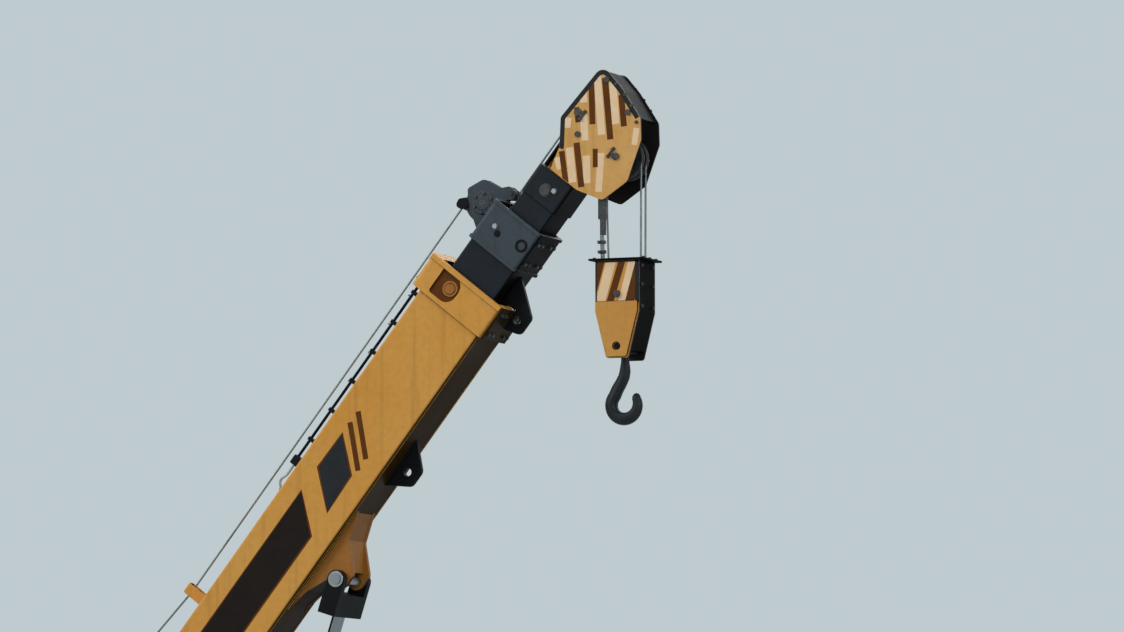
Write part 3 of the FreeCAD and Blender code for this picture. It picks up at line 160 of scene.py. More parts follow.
studioLamps = [
    # name, place, size, watts
    ("keySoftbox", (-7.0, -11.0, 11.0), 7.0, 820),
    ("topSoftbox", (1.0, 1.0, 15.0), 9.0, 620),
    ("sideSoftbox", (13.0, -8.0, 7.0), 6.0, 330),
    ("backSoftbox", (3.0, 13.0, 9.0), 7.0, 420),
]
lampAim = Vector((2.3, 0, 2.6))


def hangLamps():
    for name, place, size, watts in studioLamps:
        lamp = bpy.data.lights.new(name, "AREA")
        lamp.energy, lamp.size = watts, size
        holder = bpy.data.objects.new(name, lamp)
        bpy.context.collection.objects.link(holder)
        holder.location = place
        holder.rotation_mode = "QUATERNION"
        holder.rotation_quaternion = (lampAim - holder.location).to_track_quat("-Z", "Y")
    world = bpy.data.worlds.new("paleSky")
    bpy.context.scene.world = world
    world.use_nodes = True
    tree = world.node_tree
    for node in list(tree.nodes):
        tree.nodes.remove(node)
    add = tiedTo(tree, "ShaderNode")
    shown = seenDirectly(add)
    soft = add("Background", {"Color": paintColour("#DCE3E8"), "Strength": 0.52})
    seen = add("Background", {"Color": paintColour(skyColour), "Strength": 1.0})
    both = add("MixShader", {0: shown, 1: soft, 2: seen})
    add("OutputWorld", {"Surface": both})


placeCamera()
layFloor()
hangLamps()
print("camera, floor and lamps placed")


# materials
def startMaterial(name):
    # a new material, its tree, the way to add to it, its shader and the object's own coordinates
    material = bpy.data.materials.new(name)
    material.use_nodes = True
    add = tiedTo(material.node_tree, "ShaderNode")
    shader = material.node_tree.nodes["Principled BSDF"]
    return material, material.node_tree, add, shader, add("TexCoord").outputs["Object"]


def finishMaterial(tree, shader, colour, rough, bump):
    tree.links.new(colour.outputs[2], shader.inputs["Base Color"])
    tree.links.new(rough.outputs[0], shader.inputs["Roughness"])
    tree.links.new(bump.outputs[0], shader.inputs["Normal"])


def layered(add, paint, layers):
    # colours laid over the paint one after another, each where its mask is 1
    for mask, tint in layers:
        paint = add("Mix", {0: mask, 6: paint, 7: paintColour(tint)}, data_type="RGBA")
    return paint


def rubbedEdges(add, width, sharpness):
    # the rounded normal and a mask that is 1 on sharp outer edges about that wide
    soft = add("Bevel", {"Radius": width}, samples=6)
    facing = add("NewGeometry")
    sameWay = add("VectorMath", {0: soft, 1: facing.outputs["Normal"]}, operation="DOT_PRODUCT")
    return soft, facing, add("MapRange", {0: sameWay, 1: 0.985, 2: sharpness})


enamels = {
    # colour, sun-faded, in the hollows, bare edge, roughness, gloss, wear, dust, and the distance
    # from the middle line within which the plate's inner faces get painted shade, near black
    "amberEnamel": ("#E4A142", "#EBB15C", "#B67F33", "#6A5A48", 0.42, 0.26, 1.0, 0.7, 0),
    "headPlateEnamel": ("#E2AA5C", "#EEC080", "#BA863E", "#6A5A48", 0.42, 0.26, 1.0, 0.5, 0.1648),
    "blockPlateEnamel": ("#DF9F4A", "#E8B165", "#B8843C", "#6A5A48", 0.42, 0.26, 1.0, 0.5, 0.1398),
    "weightEnamel": ("#D99A46", "#E3AC60", "#B07C38", "#6A5A48", 0.42, 0.26, 1.0, 0.5, 0.1577),
    # a darker copy of the amber: painted shade for the lift bracket under the boom and for the collar's
    # window recess
    "shadedEnamel": ("#AC6F2A", "#BE8543", "#7A4C1C", "#5A4D3F", 0.46, 0.22, 1.0, 0.4, 0),
    "slateEnamel": ("#1D2329", "#2A3037", "#12161A", "#5B6063", 0.46, 0.14, 0.5, 0.4, 0),
    "steelBlueEnamel": ("#404A51", "#515C64", "#2D353B", "#7C8285", 0.46, 0.20, 0.7, 0.6, 0),
    "blackEnamel": ("#131416", "#202325", "#090A0A", "#4B4D4E", 0.50, 0.09, 0.5, 0.1, 0),
    "coverEnamel": ("#110F0E", "#1B1918", "#090808", "#3C3B3A", 0.50, 0.01, 0.5, 0.1, 0),
}


def sprayedEnamel(name, colour, faded, shadow, bare, rough, gloss, wear, dust, shadeWithin):
    # two-pack enamel sprayed on welded plate: even and half glossy, paler where the sun has
    # dulled it, rain streaks down its faces, dust on top, painted shade under it (near black and
    # less glossy on faces that look down), bare edges where slings and hands rub
    material, tree, add, shader, place = startMaterial(name)
    alongBoom = add("Mapping", {"Vector": place, "Rotation": (0, boomTilt, 0)})
    rain = add("Mapping", {"Vector": place, "Scale": (22.0, 22.0, 0.9)})
    patches, mottle, streaks, drift, flakes, peel, waves = [
        add("TexNoise", {"Vector": way, "Scale": scale, "Detail": detail,
                                             "Roughness": roughness, "Distortion": distortion})
        for way, scale, detail, roughness, distortion in (
            (alongBoom, 1.3, 4.0, 0.6, 0.4),     # clouds, 0.8 m
            (place, 26.0, 4.0, 0.5, 0.0),        # spray mottle, 40 mm
            (rain, 1.0, 3.0, 0.5, 0.0),          # rain streaks
            (place, 7.0, 4.0, 0.7, 0.0),         # where dust lies
            (place, 34.0, 5.0, 0.7, 0.0),        # flaked edges, 30 mm
            (place, 180.0, 1.0, 0.5, 0.0),       # orange peel, 5 mm
            (alongBoom, 5.0, 2.0, 0.5, 0.0))]    # plate drawn by its welds
    soft, facing, edge = rubbedEdges(add, 0.0035, 0.90)
    upward = add("SeparateXYZ", {0: facing.outputs["Normal"]}).outputs[2]
    cloudy, mottled, streaked, onTop, undersideShade, flaked, glossNow = [
        add("MapRange", {0: source, 1: low, 2: high, 3: least, 4: most})
        for source, low, high, least, most in (
            (patches, 0.38, 0.68, 0, 0.5), (mottle, 0.42, 0.75, 0, 0.22), (streaks, 0.55, 0.78, 0, 0.45),
            (upward, 0.25, 0.95, 0, 0.40 * dust), (upward, -0.20, -0.52, 0, 0.96),
            (flakes, 0.50, 0.62, 0, 0.8 * wear), (patches, 0.3, 0.75, rough - 0.06, rough + 0.16))]
    paint = layered(add, paintColour(colour), [(cloudy, faded), (mottled, shadow), (streaked, shadow)])
    # painted shade: faces nearer the middle line than the given distance, the inner faces between the paired
    # plates, turn near black
    if shadeWithin:
        middle = add("SeparateXYZ", {0: place}).outputs[1]
        acrossBoom = add("Math", {0: middle}, operation="ABSOLUTE")
        inner = add("Math", {0: acrossBoom, 1: shadeWithin}, operation="LESS_THAN")
        paint = layered(add, paint, [(inner, "#120D0B")])
    dusty = add("Math", {0: onTop, 1: drift}, operation="MULTIPLY")
    chips = add("Math", {0: edge, 1: flaked}, operation="MULTIPLY")
    # dust on top, painted shade in near black on faces that look down, and bare chipped edges
    paint = layered(add, paint, [(dusty, "#A59C8C"), (undersideShade, "#0B0706"), (chips, bare)])
    glossNow = add("Math", {0: dusty, 1: 0.7, 2: glossNow}, operation="MULTIPLY_ADD")
    bump = soft
    for strength, distance, height in ((0.03, 0.0004, peel), (0.16, 0.004, waves)):
        bump = add("Bump", {"Strength": strength, "Distance": distance, "Height": height,
                                                "Normal": bump})
    finishMaterial(tree, shader, paint, glossNow, bump)
    # the painted shade under it also takes the gloss away there
    dull = add("MapRange", {0: undersideShade, 3: gloss, 4: 0.03})
    tree.links.new(dull.outputs[0], shader.inputs["Specular IOR Level"])
    return material


def groundSteel(name, colour, grime, rough, marksWay, metallic=1.0):
    # turned, ground or plated steel under a film of oil: fine marks round it, brown grease
    # where nothing wipes it
    material, tree, add, shader, place = startMaterial(name)
    marks = add("Mapping", {"Vector": place, "Scale": marksWay})
    lines = add("TexNoise", {"Vector": marks, "Scale": 1.0, "Detail": 6.0, "Roughness": 0.7})
    oil = add("TexNoise", {"Vector": place, "Scale": 11.0, "Detail": 5.0, "Distortion": 0.6})
    lined = add("MapRange", {0: lines, 1: 0.3, 2: 0.7, 4: 0.35})
    oiled = add("MapRange", {0: oil, 1: 0.50, 2: 0.72, 4: 0.62})
    steel = layered(add, paintColour(colour), [(lined, "#8C8F90"), (oiled, grime)])
    glossNow = add("MapRange", {0: oil, 1: 0.45, 2: 0.8, 3: rough, 4: rough + 0.3})
    bump = add("Bump", {"Strength": 0.12, "Distance": 0.0004, "Height": lines})
    finishMaterial(tree, shader, steel, glossNow, bump)
    shader.inputs["Metallic"].default_value = metallic
    return material


def scaledSteel(name, dark, light, rubbed, metallic, grainScale):
    # forged or cast metal under oil: black scale or sand skin, rubbed brighter on its edges
    material, tree, add, shader, place = startMaterial(name)
    skin = add("TexNoise", {"Vector": place, "Scale": grainScale, "Detail": 5.0, "Roughness": 0.7})
    stain = add("TexNoise", {"Vector": place, "Scale": 12.0, "Detail": 5.0, "Roughness": 0.65})
    soft, edge = rubbedEdges(add, 0.004, 0.92)[::2]
    tint = add("MapRange", {0: stain, 1: 0.35, 2: 0.7})
    bright = add("Math", {0: edge, 1: 0.75}, operation="MULTIPLY")
    metal = layered(add, paintColour(dark), [(tint, light), (bright, rubbed)])
    glossNow = add("MapRange", {0: stain, 1: 0.3, 2: 0.75, 3: 0.38, 4: 0.66})
    bump = add("Bump", {"Strength": 0.28, "Distance": 0.001, "Height": skin, "Normal": soft})
    finishMaterial(tree, shader, metal, glossNow, bump)
    shader.inputs["Metallic"].default_value = metallic
    return material


def galvanisedWire(name):
    # galvanised wire rope: dull zinc grey wires, dark grease pressed up between strands
    material, tree, add, shader, place = startMaterial(name)
    wires = add("TexNoise", {"Vector": place, "Scale": 170.0, "Detail": 3.0})  # wires, drawn coarse
    grease = add("TexNoise", {"Vector": place, "Scale": 5.0, "Detail": 4.0})
    shine = add("MapRange", {0: wires, 1: 0.4, 2: 0.65})
    greased = add("MapRange", {0: grease, 1: 0.48, 2: 0.72, 4: 0.55})
    zinc = layered(add, paintColour("#78807F"), [(shine, "#A3ABAC"), (greased, "#55554F")])
    glossNow = add("MapRange", {0: wires, 1: 0.3, 2: 0.7, 3: 0.38, 4: 0.58})
    bump = add("Bump", {"Strength": 0.4, "Distance": 0.0006, "Height": wires})
    finishMaterial(tree, shader, zinc, glossNow, bump)
    shader.inputs["Metallic"].default_value = 0.7
    return material


def softSkin(name, colour, worn, rough, scale, gloss=0.3):
    # nylon pads, rubber hose and vinyl film: one flat colour, chalky and scuffed by weather
    material, tree, add, shader, place = startMaterial(name)
    chalk = add("TexNoise", {"Vector": place, "Scale": scale, "Detail": 6.0, "Roughness": 0.7,
                                                  "Distortion": 0.5})
    scratch = add("TexNoise", {"Vector": place, "Scale": 60.0, "Detail": 6.0, "Roughness": 0.8})
    chalked = add("MapRange", {0: chalk, 1: 0.42, 2: 0.75, 4: 0.65})
    scuffed = add("MapRange", {0: scratch, 1: 0.66, 2: 0.72, 4: 0.35})
    skin = layered(add, paintColour(colour), [(chalked, worn), (scuffed, worn)])
    glossNow = add("MapRange", {0: chalk, 1: 0.3, 2: 0.7, 3: rough, 4: rough + 0.18})
    bump = add("Bump", {"Strength": 0.12, "Distance": 0.0004, "Height": chalk})
    finishMaterial(tree, shader, skin, glossNow, bump)
    shader.inputs["Specular IOR Level"].default_value = gloss
    return material


(amberEnamel, headPlateEnamel, blockPlateEnamel, weightEnamel, shadedEnamel, slateEnamel, steelBlueEnamel,
 blackEnamel, coverEnamel) = [sprayedEnamel(name, *enamels[name]) for name in enamels]
chromeRod = groundSteel("chromePlatedRod", "#8E9294", "#45423C", 0.16, (160.0, 160.0, 6.0))
turnedSteel = groundSteel("turnedSteel", "#9A9DA0", "#4E473C", 0.30, (90.0, 420.0, 90.0))
oiledSteel = groundSteel("oiledBlackSteel", "#1D1916", "#0F0C0A", 0.46, (90.0, 300.0, 90.0), 0.2)
zincedBolt = groundSteel("zincPlatedBolt", "#A9ABA6", "#5C5342", 0.34, (180.0, 180.0, 180.0))
hookSteel = scaledSteel("forgedHookSteel", "#17191B", "#26292C", "#4B4F53", 0.5, 40.0)     # mill scale, 25 mm
sheaveIron = scaledSteel("castIronSheave", "#34383B", "#45423D", "#85888A", 0.6, 220.0)    # sand skin, 4 mm
ropeWire = galvanisedWire("galvanisedWireRope")
padNylon = softSkin("castNylonPad", "#B9B193", "#6F6954", 0.36, 16.0)
hoseRubber = softSkin("hydraulicHoseRubber", "#17181A", "#2E2F30", 0.48, 30.0)
greyFilm = softSkin("greyVinylFilm", "#25282C", "#34373B", 0.50, 9.0, 0.15)
darkFilm = softSkin("darkVinylFilm", "#1C1512", "#2E221B", 0.50, 9.0, 0.12)
brownFilm = softSkin("brownVinylFilm", "#633714", "#764A20", 0.50, 9.0, 0.10)
# pale film for the painted highlights between the brown stripes
paleHighlightFilm = softSkin("paleHighlightVinylFilm", "#FFDFB6", "#F3C893", 0.50, 9.0, 0.15)

nodeFinishes = {
    amberEnamel: ["base_webs", "base_flanges", "base_collar", "foot_cheeks", "winch_frame",
                  "winch_ties", "rope_guide", "head_webs", "head_flanges"],
    headPlateEnamel: ["head_plates"],
    blockPlateEnamel: ["block_plates"],
    weightEnamel: ["block_weights"],
    # painted shade: the darker amber copy on the bracket and the window's bosses
    shadedEnamel: ["lift_bracket", "bracket_box", "window_bosses"],
    slateEnamel: ["second_webs", "second_flanges", "third_webs", "third_flanges", "third_collar",
                  "lift_barrel",
                  "lift_eye"],
    steelBlueEnamel: ["second_band", "ear_plates"],
    blackEnamel: ["base_lug", "band_lug", "head_frame", "winch_motor", "lift_yoke", "hose_rail", "crosshead",
                  "winch_drum"],
    coverEnamel: ["block_covers", "block_rim"],
    oiledSteel: ["head_pins", "dead_end_socket", "block_pin", "lock_pins", "ear_pin"],
    turnedSteel: ["foot_boss", "lift_pin", "sheave_spacers"],
    sheaveIron: ["ear_sheave", "idler_sheave", "head_sheaves", "block_sheaves"],
    chromeRod: ["lift_rod"],
    padNylon: ["base_pads", "second_pads", "third_pads", "head_pads"],
    ropeWire: ["rope_base", "rope_second", "rope_third", "rope_head", "rope_falls", "rope_dead_end",
               "rope_block"],
    hookSteel: ["hook"],
}
for finish, names in nodeFinishes.items():
    for name in names:
        cadNodes[name].data.materials.clear()
        cadNodes[name].data.materials.append(finish)
unfinished = [name for name in cadNodes if cadNodes[name].data.materials[0] not in nodeFinishes]
print("finishes given; left over:", unfinished)


# shared making of meshes
def placePiece(name, mesh, body):
    # a piece in the scene, riding on its body; one with no body is left unattached
    piece = bpy.data.objects.new(name, mesh)
    bpy.context.collection.objects.link(piece)
    if body:
        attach(piece, body)
    return piece


def keepPiece(name, shape, finish, body):
    # a bmesh becomes a piece that rides on a body
    mesh = bpy.data.meshes.new(name)
    bmesh.ops.recalc_face_normals(shape, faces=shape.faces)
    shape.to_mesh(mesh)
    shape.free()
    mesh.materials.append(finish)
    return placePiece(name, mesh, body)


def buildPieces(rows):
    # a row is one piece: name, body, finish, and its parts, each a function with its sizes
    for name, body, finish, parts in rows:
        shape = bmesh.new()
        for make, *sizes in parts:
            make(shape, *sizes)
        keepPiece(name, shape, finish, body)


def roundedOutline(corners, steps=6):
    # corners (along, rise, radius) rounded off to one closed line of points
    line = []
    for i, corner in enumerate(corners):
        here = Vector(corner[:2])
        before, after = Vector(corners[i - 1][:2]), Vector(corners[(i + 1) % len(corners)][:2])
        radius = corner[2] if len(corner) > 2 else 0
        if radius <= 0:
            line.append(here)
            continue
        toBefore, toAfter = (before - here).normalized(), (after - here).normalized()
        half = math.acos(max(-1, min(1, toBefore.dot(toAfter)))) / 2
        reach = radius / math.tan(half)
        centre = here + (toBefore + toAfter).normalized() * (radius / math.sin(half))
        first, last = here + toBefore * reach - centre, here + toAfter * reach - centre
        turn = math.atan2(first.x * last.y - first.y * last.x, first.dot(last))
        for k in range(steps + 1):
            a = turn * k / steps
            line.append(centre + Vector((first.x * math.cos(a) - first.y * math.sin(a),
                                         first.x * math.sin(a) + first.y * math.cos(a))))
    return line


def insetLine(line, margin):
    # a closed line moved inwards by margin
    area = sum(line[i - 1].x * p.y - p.x * line[i - 1].y for i, p in enumerate(line))
    way = 1 if area > 0 else -1
    moved = []
    for i, p in enumerate(line):
        ahead, behind = line[(i + 1) % len(line)] - p, p - line[i - 1]
        if ahead.length < 1e-6 or behind.length < 1e-6:
            continue
        normal = (Vector((-ahead.y, ahead.x)).normalized() + Vector((-behind.y, behind.x)).normalized())
        moved.append(p + normal.normalized() * margin * way)
    return moved


def clipped(line, inside):
    # the part of a closed line that lies inside a convex outline
    area = sum(inside[i - 1].x * p.y - p.x * inside[i - 1].y for i, p in enumerate(inside))
    for i in range(len(inside)):
        a, b = inside[i - 1], inside[i]
        kept = []
        for j in range(len(line)):
            p, q = line[j - 1], line[j]
            sideP = ((b.x - a.x) * (p.y - a.y) - (b.y - a.y) * (p.x - a.x)) * area
            sideQ = ((b.x - a.x) * (q.y - a.y) - (b.y - a.y) * (q.x - a.x)) * area
            if (sideP >= 0) != (sideQ >= 0):
                kept.append(p + (q - p) * (sideP / (sideP - sideQ)))
            if sideQ >= 0:
                kept.append(q)
        line = kept
        if not line:
            break
    return line


def closeRings(shape, rings):
    # faces from each ring of points to the next, and one over each end
    for first, second in zip(rings, rings[1:]):
        for i in range(len(first)):
            shape.faces.new((first[i - 1], first[i], second[i], second[i - 1]))
    shape.faces.new(rings[0])
    shape.faces.new(rings[-1])


def filmOn(shape, line, toWorld, face, thick):
    # a thin film of the line's outline standing on the face at that side of the object
    outer = face + math.copysign(thick, face)
    rings = [[shape.verts.new(toWorld(p.x, side, p.y)) for p in line] for side in (face, outer)]
    shape.faces.new(rings[1])
    shape.faces.new(list(reversed(rings[0])))
    for i in range(len(line)):
        shape.faces.new((rings[0][i - 1], rings[0][i], rings[1][i], rings[1][i - 1]))


def stripe(start, end, wide):
    # a straight stripe between two points as a closed line
    start, end = Vector(start), Vector(end)
    across = (end - start).normalized()
    across = Vector((-across.y, across.x)) * wide / 2
    return [start + across, end + across, end - across, start - across]


def stripesIn(inside, rows, thick):
    # stripes from point to point, each of its own width, cut off at a convex outline
    return [(clipped(stripe(row[:2], row[2:4], row[4]), inside), thick) for row in rows]


def layLivery(body, toWorld, face, sheets):
    # each sheet is one piece of film on both sides of the body
    buildPieces((name, body, finish, [(filmOn, line, toWorld, side, thick) for side in (-face, face)
                                      for line, thick in films]) for name, finish, films in sheets)


filmThick = {"brown": 0.7, "cream": 0.5, "dark": 0.9, "border": 1.0}

# livery on the base section: a lozenge, two thin stripes and a long bare panel
baseLivery = {
    "face": 200.0, "thick": 0.7,
    "lozenge": [(3599, 202), (3331, 202), (3143, -24), (3423, -8)],
    "stripes": [((3691, 205), (3479, -34)), ((3780, 202), (3570, -32))], "stripeWide": 36,
    "panel": [(3134, 205), (2947, -24), (640, -24), (560, 90), (640, 205)], "edging": 14,
}


def baseGraphics():
    b = baseLivery
    lozenge, panel = [[Vector(p) for p in b[key]] for key in ("lozenge", "panel")]
    edges = [(insetLine(line, -b["edging"]), b["thick"] / 2) for line in (lozenge, panel)]
    stripes = [(stripe(start, end, b["stripeWide"]), b["thick"]) for start, end in b["stripes"]]
    layLivery("base", boomPoint, b["face"], [
        ("baseLozenge", greyFilm, [(lozenge, b["thick"])]), ("basePanel", darkFilm, [(panel, b["thick"])]),
        ("baseStripes", brownFilm, edges + stripes)])


baseGraphics()

# livery on the head plates: brown stripes over the whole plate, pale stripes between them that are painted
# highlights, and a dark border
headLivery = {
    "face": 165.0, "margin": 1.5, "border": 30, "edgeFrom": 7, "edgeTo": 36,
    "corners": [(5790, 96, 13), (5940, 134, 40), (6095, 244, 40), (6529, 214, 60), (6487, 19, 120),
                (6409, -206, 60), (6301, -296, 40), (6037, -381, 40), (5841, -317, 40), (5790, -134, 30)],
    "brown": [(6386, 202, 6186, 37, 40), (6471, 151, 6181, -123, 42), (6450, -8, 6301, -147, 40),
              (5927, 104, 5768, -61, 38), (6029, 53, 5824, -149, 42), (6073, -75, 5980, -149, 34),
              (6209, 193, 6138, 126, 34)],
    "cream": [(6446, 197, 6170, -56, 50), (6496, 105, 6280, -93, 50), (6330, 230, 6262, 171, 48),
              (6203, 127, 6074, 15, 50), (6124, 198, 6067, 165, 44), (5977, 73, 5812, -82, 52),
              (6003, -52, 5865, -165, 50), (6075, -125, 5869, -263, 46), (6343, -224, 6248, -278, 40),
              (5878, 103, 5829, 41, 44)],
}


def headGraphics():
    h = headLivery
    outline = insetLine(roundedOutline(h["corners"]), h["margin"])
    inner = insetLine(outline, h["border"])
    hull = [Vector(c[:2]) for c in h["corners"]]
    hull = insetLine([hull[0]] + hull[2:], h["margin"] + 2)
    border = [([outline[i], outline[i + 1], inner[i + 1], inner[i]], filmThick["border"])
              for i in range(h["edgeFrom"], h["edgeTo"])]
    layLivery("head", boomPoint, h["face"], [
        ("headStripes", brownFilm, stripesIn(hull, h["brown"], filmThick["brown"])),
        ("headPaintedHighlights", paleHighlightFilm, stripesIn(hull, h["cream"], filmThick["cream"])),
        ("headBorder", greyFilm, border)])


headGraphics()

# livery on the hook block's plates: brown stripes, pale stripes between them that are painted highlights,
# dark edges, and a painted shadow line along the weights' top edge
blockPlace = Vector((3937.96, 0, 3809.644))
blockLivery = {
    "face": 140.0, "outline": [(-149, 213), (149.5, 213), (149.5, -60), (-149, -60)],
    "brown": [(-112, 213, -164, 20, 54), (34, 213, -68, -110, 46), (150, 180, 82, -60, 60)],
    "cream": [(-40, 213, -118, -60, 64), (108, 213, 36, -60, 60)],
    # the first row is a painted shadow line along the weights' top edge; the others are dark edging at the
    # right, left and top
    "dark": [(-148, -53, 148, -53, 15), (136, 213, 136, -60, 28), (-143, 213, -143, -60, 10),
             (-148, 207, 148, 207, 12)],
}


def blockPoint(x, y, z):
    return (blockPlace + Vector((x, y, z))) / 1000


def blockGraphics():
    b = blockLivery
    inside = [Vector(p) for p in b["outline"]]
    layLivery("block", blockPoint, b["face"], [
        (name, finish, stripesIn(inside, b[tone], filmThick[tone])) for name, finish, tone in (
            ("blockStripes", brownFilm, "brown"), ("blockPaintedHighlights", paleHighlightFilm, "cream"),
            ("blockDarkEdgesAndShadow", greyFilm, "dark"))])


blockGraphics()
print("livery laid")


# plates, rings and turned fittings fixed to the steelwork
def turnedOn(shape, centre, way, profile, sides=24):
    # radius and height pairs in mm turned about an axis that starts at the centre
    turn = Vector(way).to_track_quat("Z", "Y")
    rings = []
    for radius, height in profile:
        count = sides if radius > 0 else 1
        rings.append([shape.verts.new(Vector(centre) + turn @ Vector((
            radius * math.cos(math.tau * k / sides), radius * math.sin(math.tau * k / sides), height)) / 1000)
            for k in range(count)])
    closed = profile[0] == profile[-1]
    if closed:
        rings[-1] = rings[0]
    for first, second in zip(rings, rings[1:]):
        for k in range(sides):
            corners = [first[k % len(first)], first[(k + 1) % len(first)],
                       second[(k + 1) % len(second)], second[k % len(second)]]
            shape.faces.new(list(dict.fromkeys(corners)))
    for ring in () if closed else (rings[0], rings[-1]):
        if len(ring) > 1:
            shape.faces.new(ring)


def washerProfile(inner, outer, thick, edge):
    # a flat ring with its outer corner broken
    return [(inner, 0), (outer, 0), (outer, thick - edge), (outer - edge, thick), (inner, thick), (inner, 0)]


def chamferedPlate(shape, line, toWorld, near, far, edge):
    # a plate from one face to the other, its far corner broken all round
    side = math.copysign(edge, far - near)
    closeRings(shape, [[shape.verts.new(toWorld(p.x, y, p.y)) for p in points] for points, y in (
        (line, near), (line, far - side), (insetLine(line, edge), far))])


def boxLine(lowX, highX, lowY, highY, corner=0.0):
    return roundedOutline([(highX, highY, corner), (lowX, highY, corner), (lowX, lowY, corner),
                           (highX, lowY, corner)], 4)


# the lift cylinder's own line, from its lower eye up to the pin
cylinderFoot = Vector((1250.0, 0.0, -420.0))
cylinderUp = (Vector((2020.3, 0.0, 2025.5)) - cylinderFoot).normalized()
cylinderBack = Vector((-cylinderUp.z, 0.0, cylinderUp.x))


def cylinderPoint(along, side, back):
    return (cylinderFoot + cylinderUp * along + cylinderBack * back + Vector((0, side, 0))) / 1000


flatPlates = {
    # body, finish, then each plate's outline, near and far face and broken edge, made on both sides
    "collarLips": ("base", amberEnamel, [
        (boxLine(4864, 4898, -198, 402, 6), 215, 221, 2)]),
    # a dark brown sheet inside the collar's window: primer colour with painted shade for the shallow recess
    "windowRecessShade": ("base", brownFilm, [
        (roundedOutline([(4878, 285, 19), (4681, 285, 19), (4681, 98, 84), (4878, 98, 84)]), 200, 200.8,
         0.3)]),
    # painted shadow: a black disc on each side just beside the band's stud
    "bandStudShadows": ("second", blackEnamel, [
        (boxLine(5229, 5275, 107, 153, 22.9), 184, 186, 0.8)]),
    "headKeepers": ("head", oiledSteel, [
        (boxLine(6075, 6157, -188, -168, 4), 165, 171, 1.5),
                                         (boxLine(6149, 6231, 116, 136, 4), 165, 171, 1.5)]),
}
ringFittings = {
    # body, finish, then each ring's place along, across and above the boom, inner, outer and thickness
    # painted shade: the window's ring in the darker amber of the recess
    "windowRing": ("base", shadedEnamel, [(4782, 200.8, 168, 38, 53, 7)]),
    "lugCollars": ("base", blackEnamel, [(3641, 15, -250, 26.5, 44, 6)]),
    "bandLugCollars": ("second", blackEnamel, [(4864, 15, -260, 26.5, 46, 6)]),
    "bandPort": ("second", blackEnamel, [(5287, 184, -53, 27, 42, 5)]),
    # painted shade: the bracket's bosses in the darker amber under the boom
    "bracketBosses": ("base", shadedEnamel, [(2840, 140, -345, 36, 56, 6)]),
    "pinWashers": ("base", zincedBolt, [(2840, 215.5, -345, 35.5, 52, 5)]),
    "footRings": ("base", amberEnamel, [(0, 215, 0, 75.5, 92, 10)]),
    "lockWashers": ("third", oiledSteel, [(5662, 152, 45, 34.5, 43, 4)]),
}


def fixedFittings():
    buildPieces((name, body, finish, [
        (chamferedPlate, line, boomPoint, near * side, far * side, edge)
        for line, near, far, edge in rows for side in (-1, 1)])
        for name, (body, finish, rows) in flatPlates.items())
    buildPieces((name, body, finish, [
        (turnedOn, boomPoint(along, side * way, rise), (0, way, 0), washerProfile(inner, outer, thick, 1.5),
         40)
        for along, side, rise, inner, outer, thick in rows for way in (-1, 1)])
        for name, (body, finish, rows) in ringFittings.items())


fixedFittings()


# the fittings that stand on one side only
# a profile is radius and height pairs; a face is across the boom
winchParts = {
    "along": 330.0, "rise": 545.0, "capFace": -176.0, "motorPort": (290.0, 320.0), "motorTop": 605.0,
    "cap": [(66, 0), (66, 9), (63, 12), (36, 12), (33, 15), (0, 15)],
    "port": [(15, 0), (15, 8), (11, 10), (11, 20), (9, 22), (0, 22)],
}
cylinderParts = {
    "barrel": 75.0, "gland": 1351.0, "glandRadius": 83.0, "ports": (190.0, 1290.0), "straps": (480.0, 980.0),
    "port": [(17, 0), (17, 18), (14, 21), (0, 21)], "portSunk": 4, "wiper": (42.8, 54, 5, 2),
    "strapGap": 0.2, "strapOut": 3.5, "strapWide": 24,
}
railParts = {
    "side": -150.0, "rise": 380.0, "start": 3291.0, "end": 4654.0, "sheath": 9.7,
    "clampFirst": 3419.0, "clampStep": 228.14, "clamps": 6,
    "stop": (3229, 3293, 341, 402, 8), "stopNear": -128, "stopFar": -172, "stopEdge": 4,
}
earParts = {
    "along": 5317.0, "rise": 411.0, "near": 12.0, "far": 88.0,
    "cover": [(78, 0), (78, 3), (74, 5), (50, 5), (47, 7.5), (24.5, 7.5), (24.5, 0), (78, 0)],
    "keeper": [(5280, 524, 10), (5240, 564, 26), (5188, 554, 24), (5196, 504, 14), (5244, 474, 8)],
    "keeperThick": 8, "keeperEdge": 1.5, "rollerAlong": 5226, "rollerRise": 542, "rollerOut": 6,
    "roller": [(6, 0), (6, 14), (9.5, 16), (9.5, 72), (6, 74), (6, 88)],
}


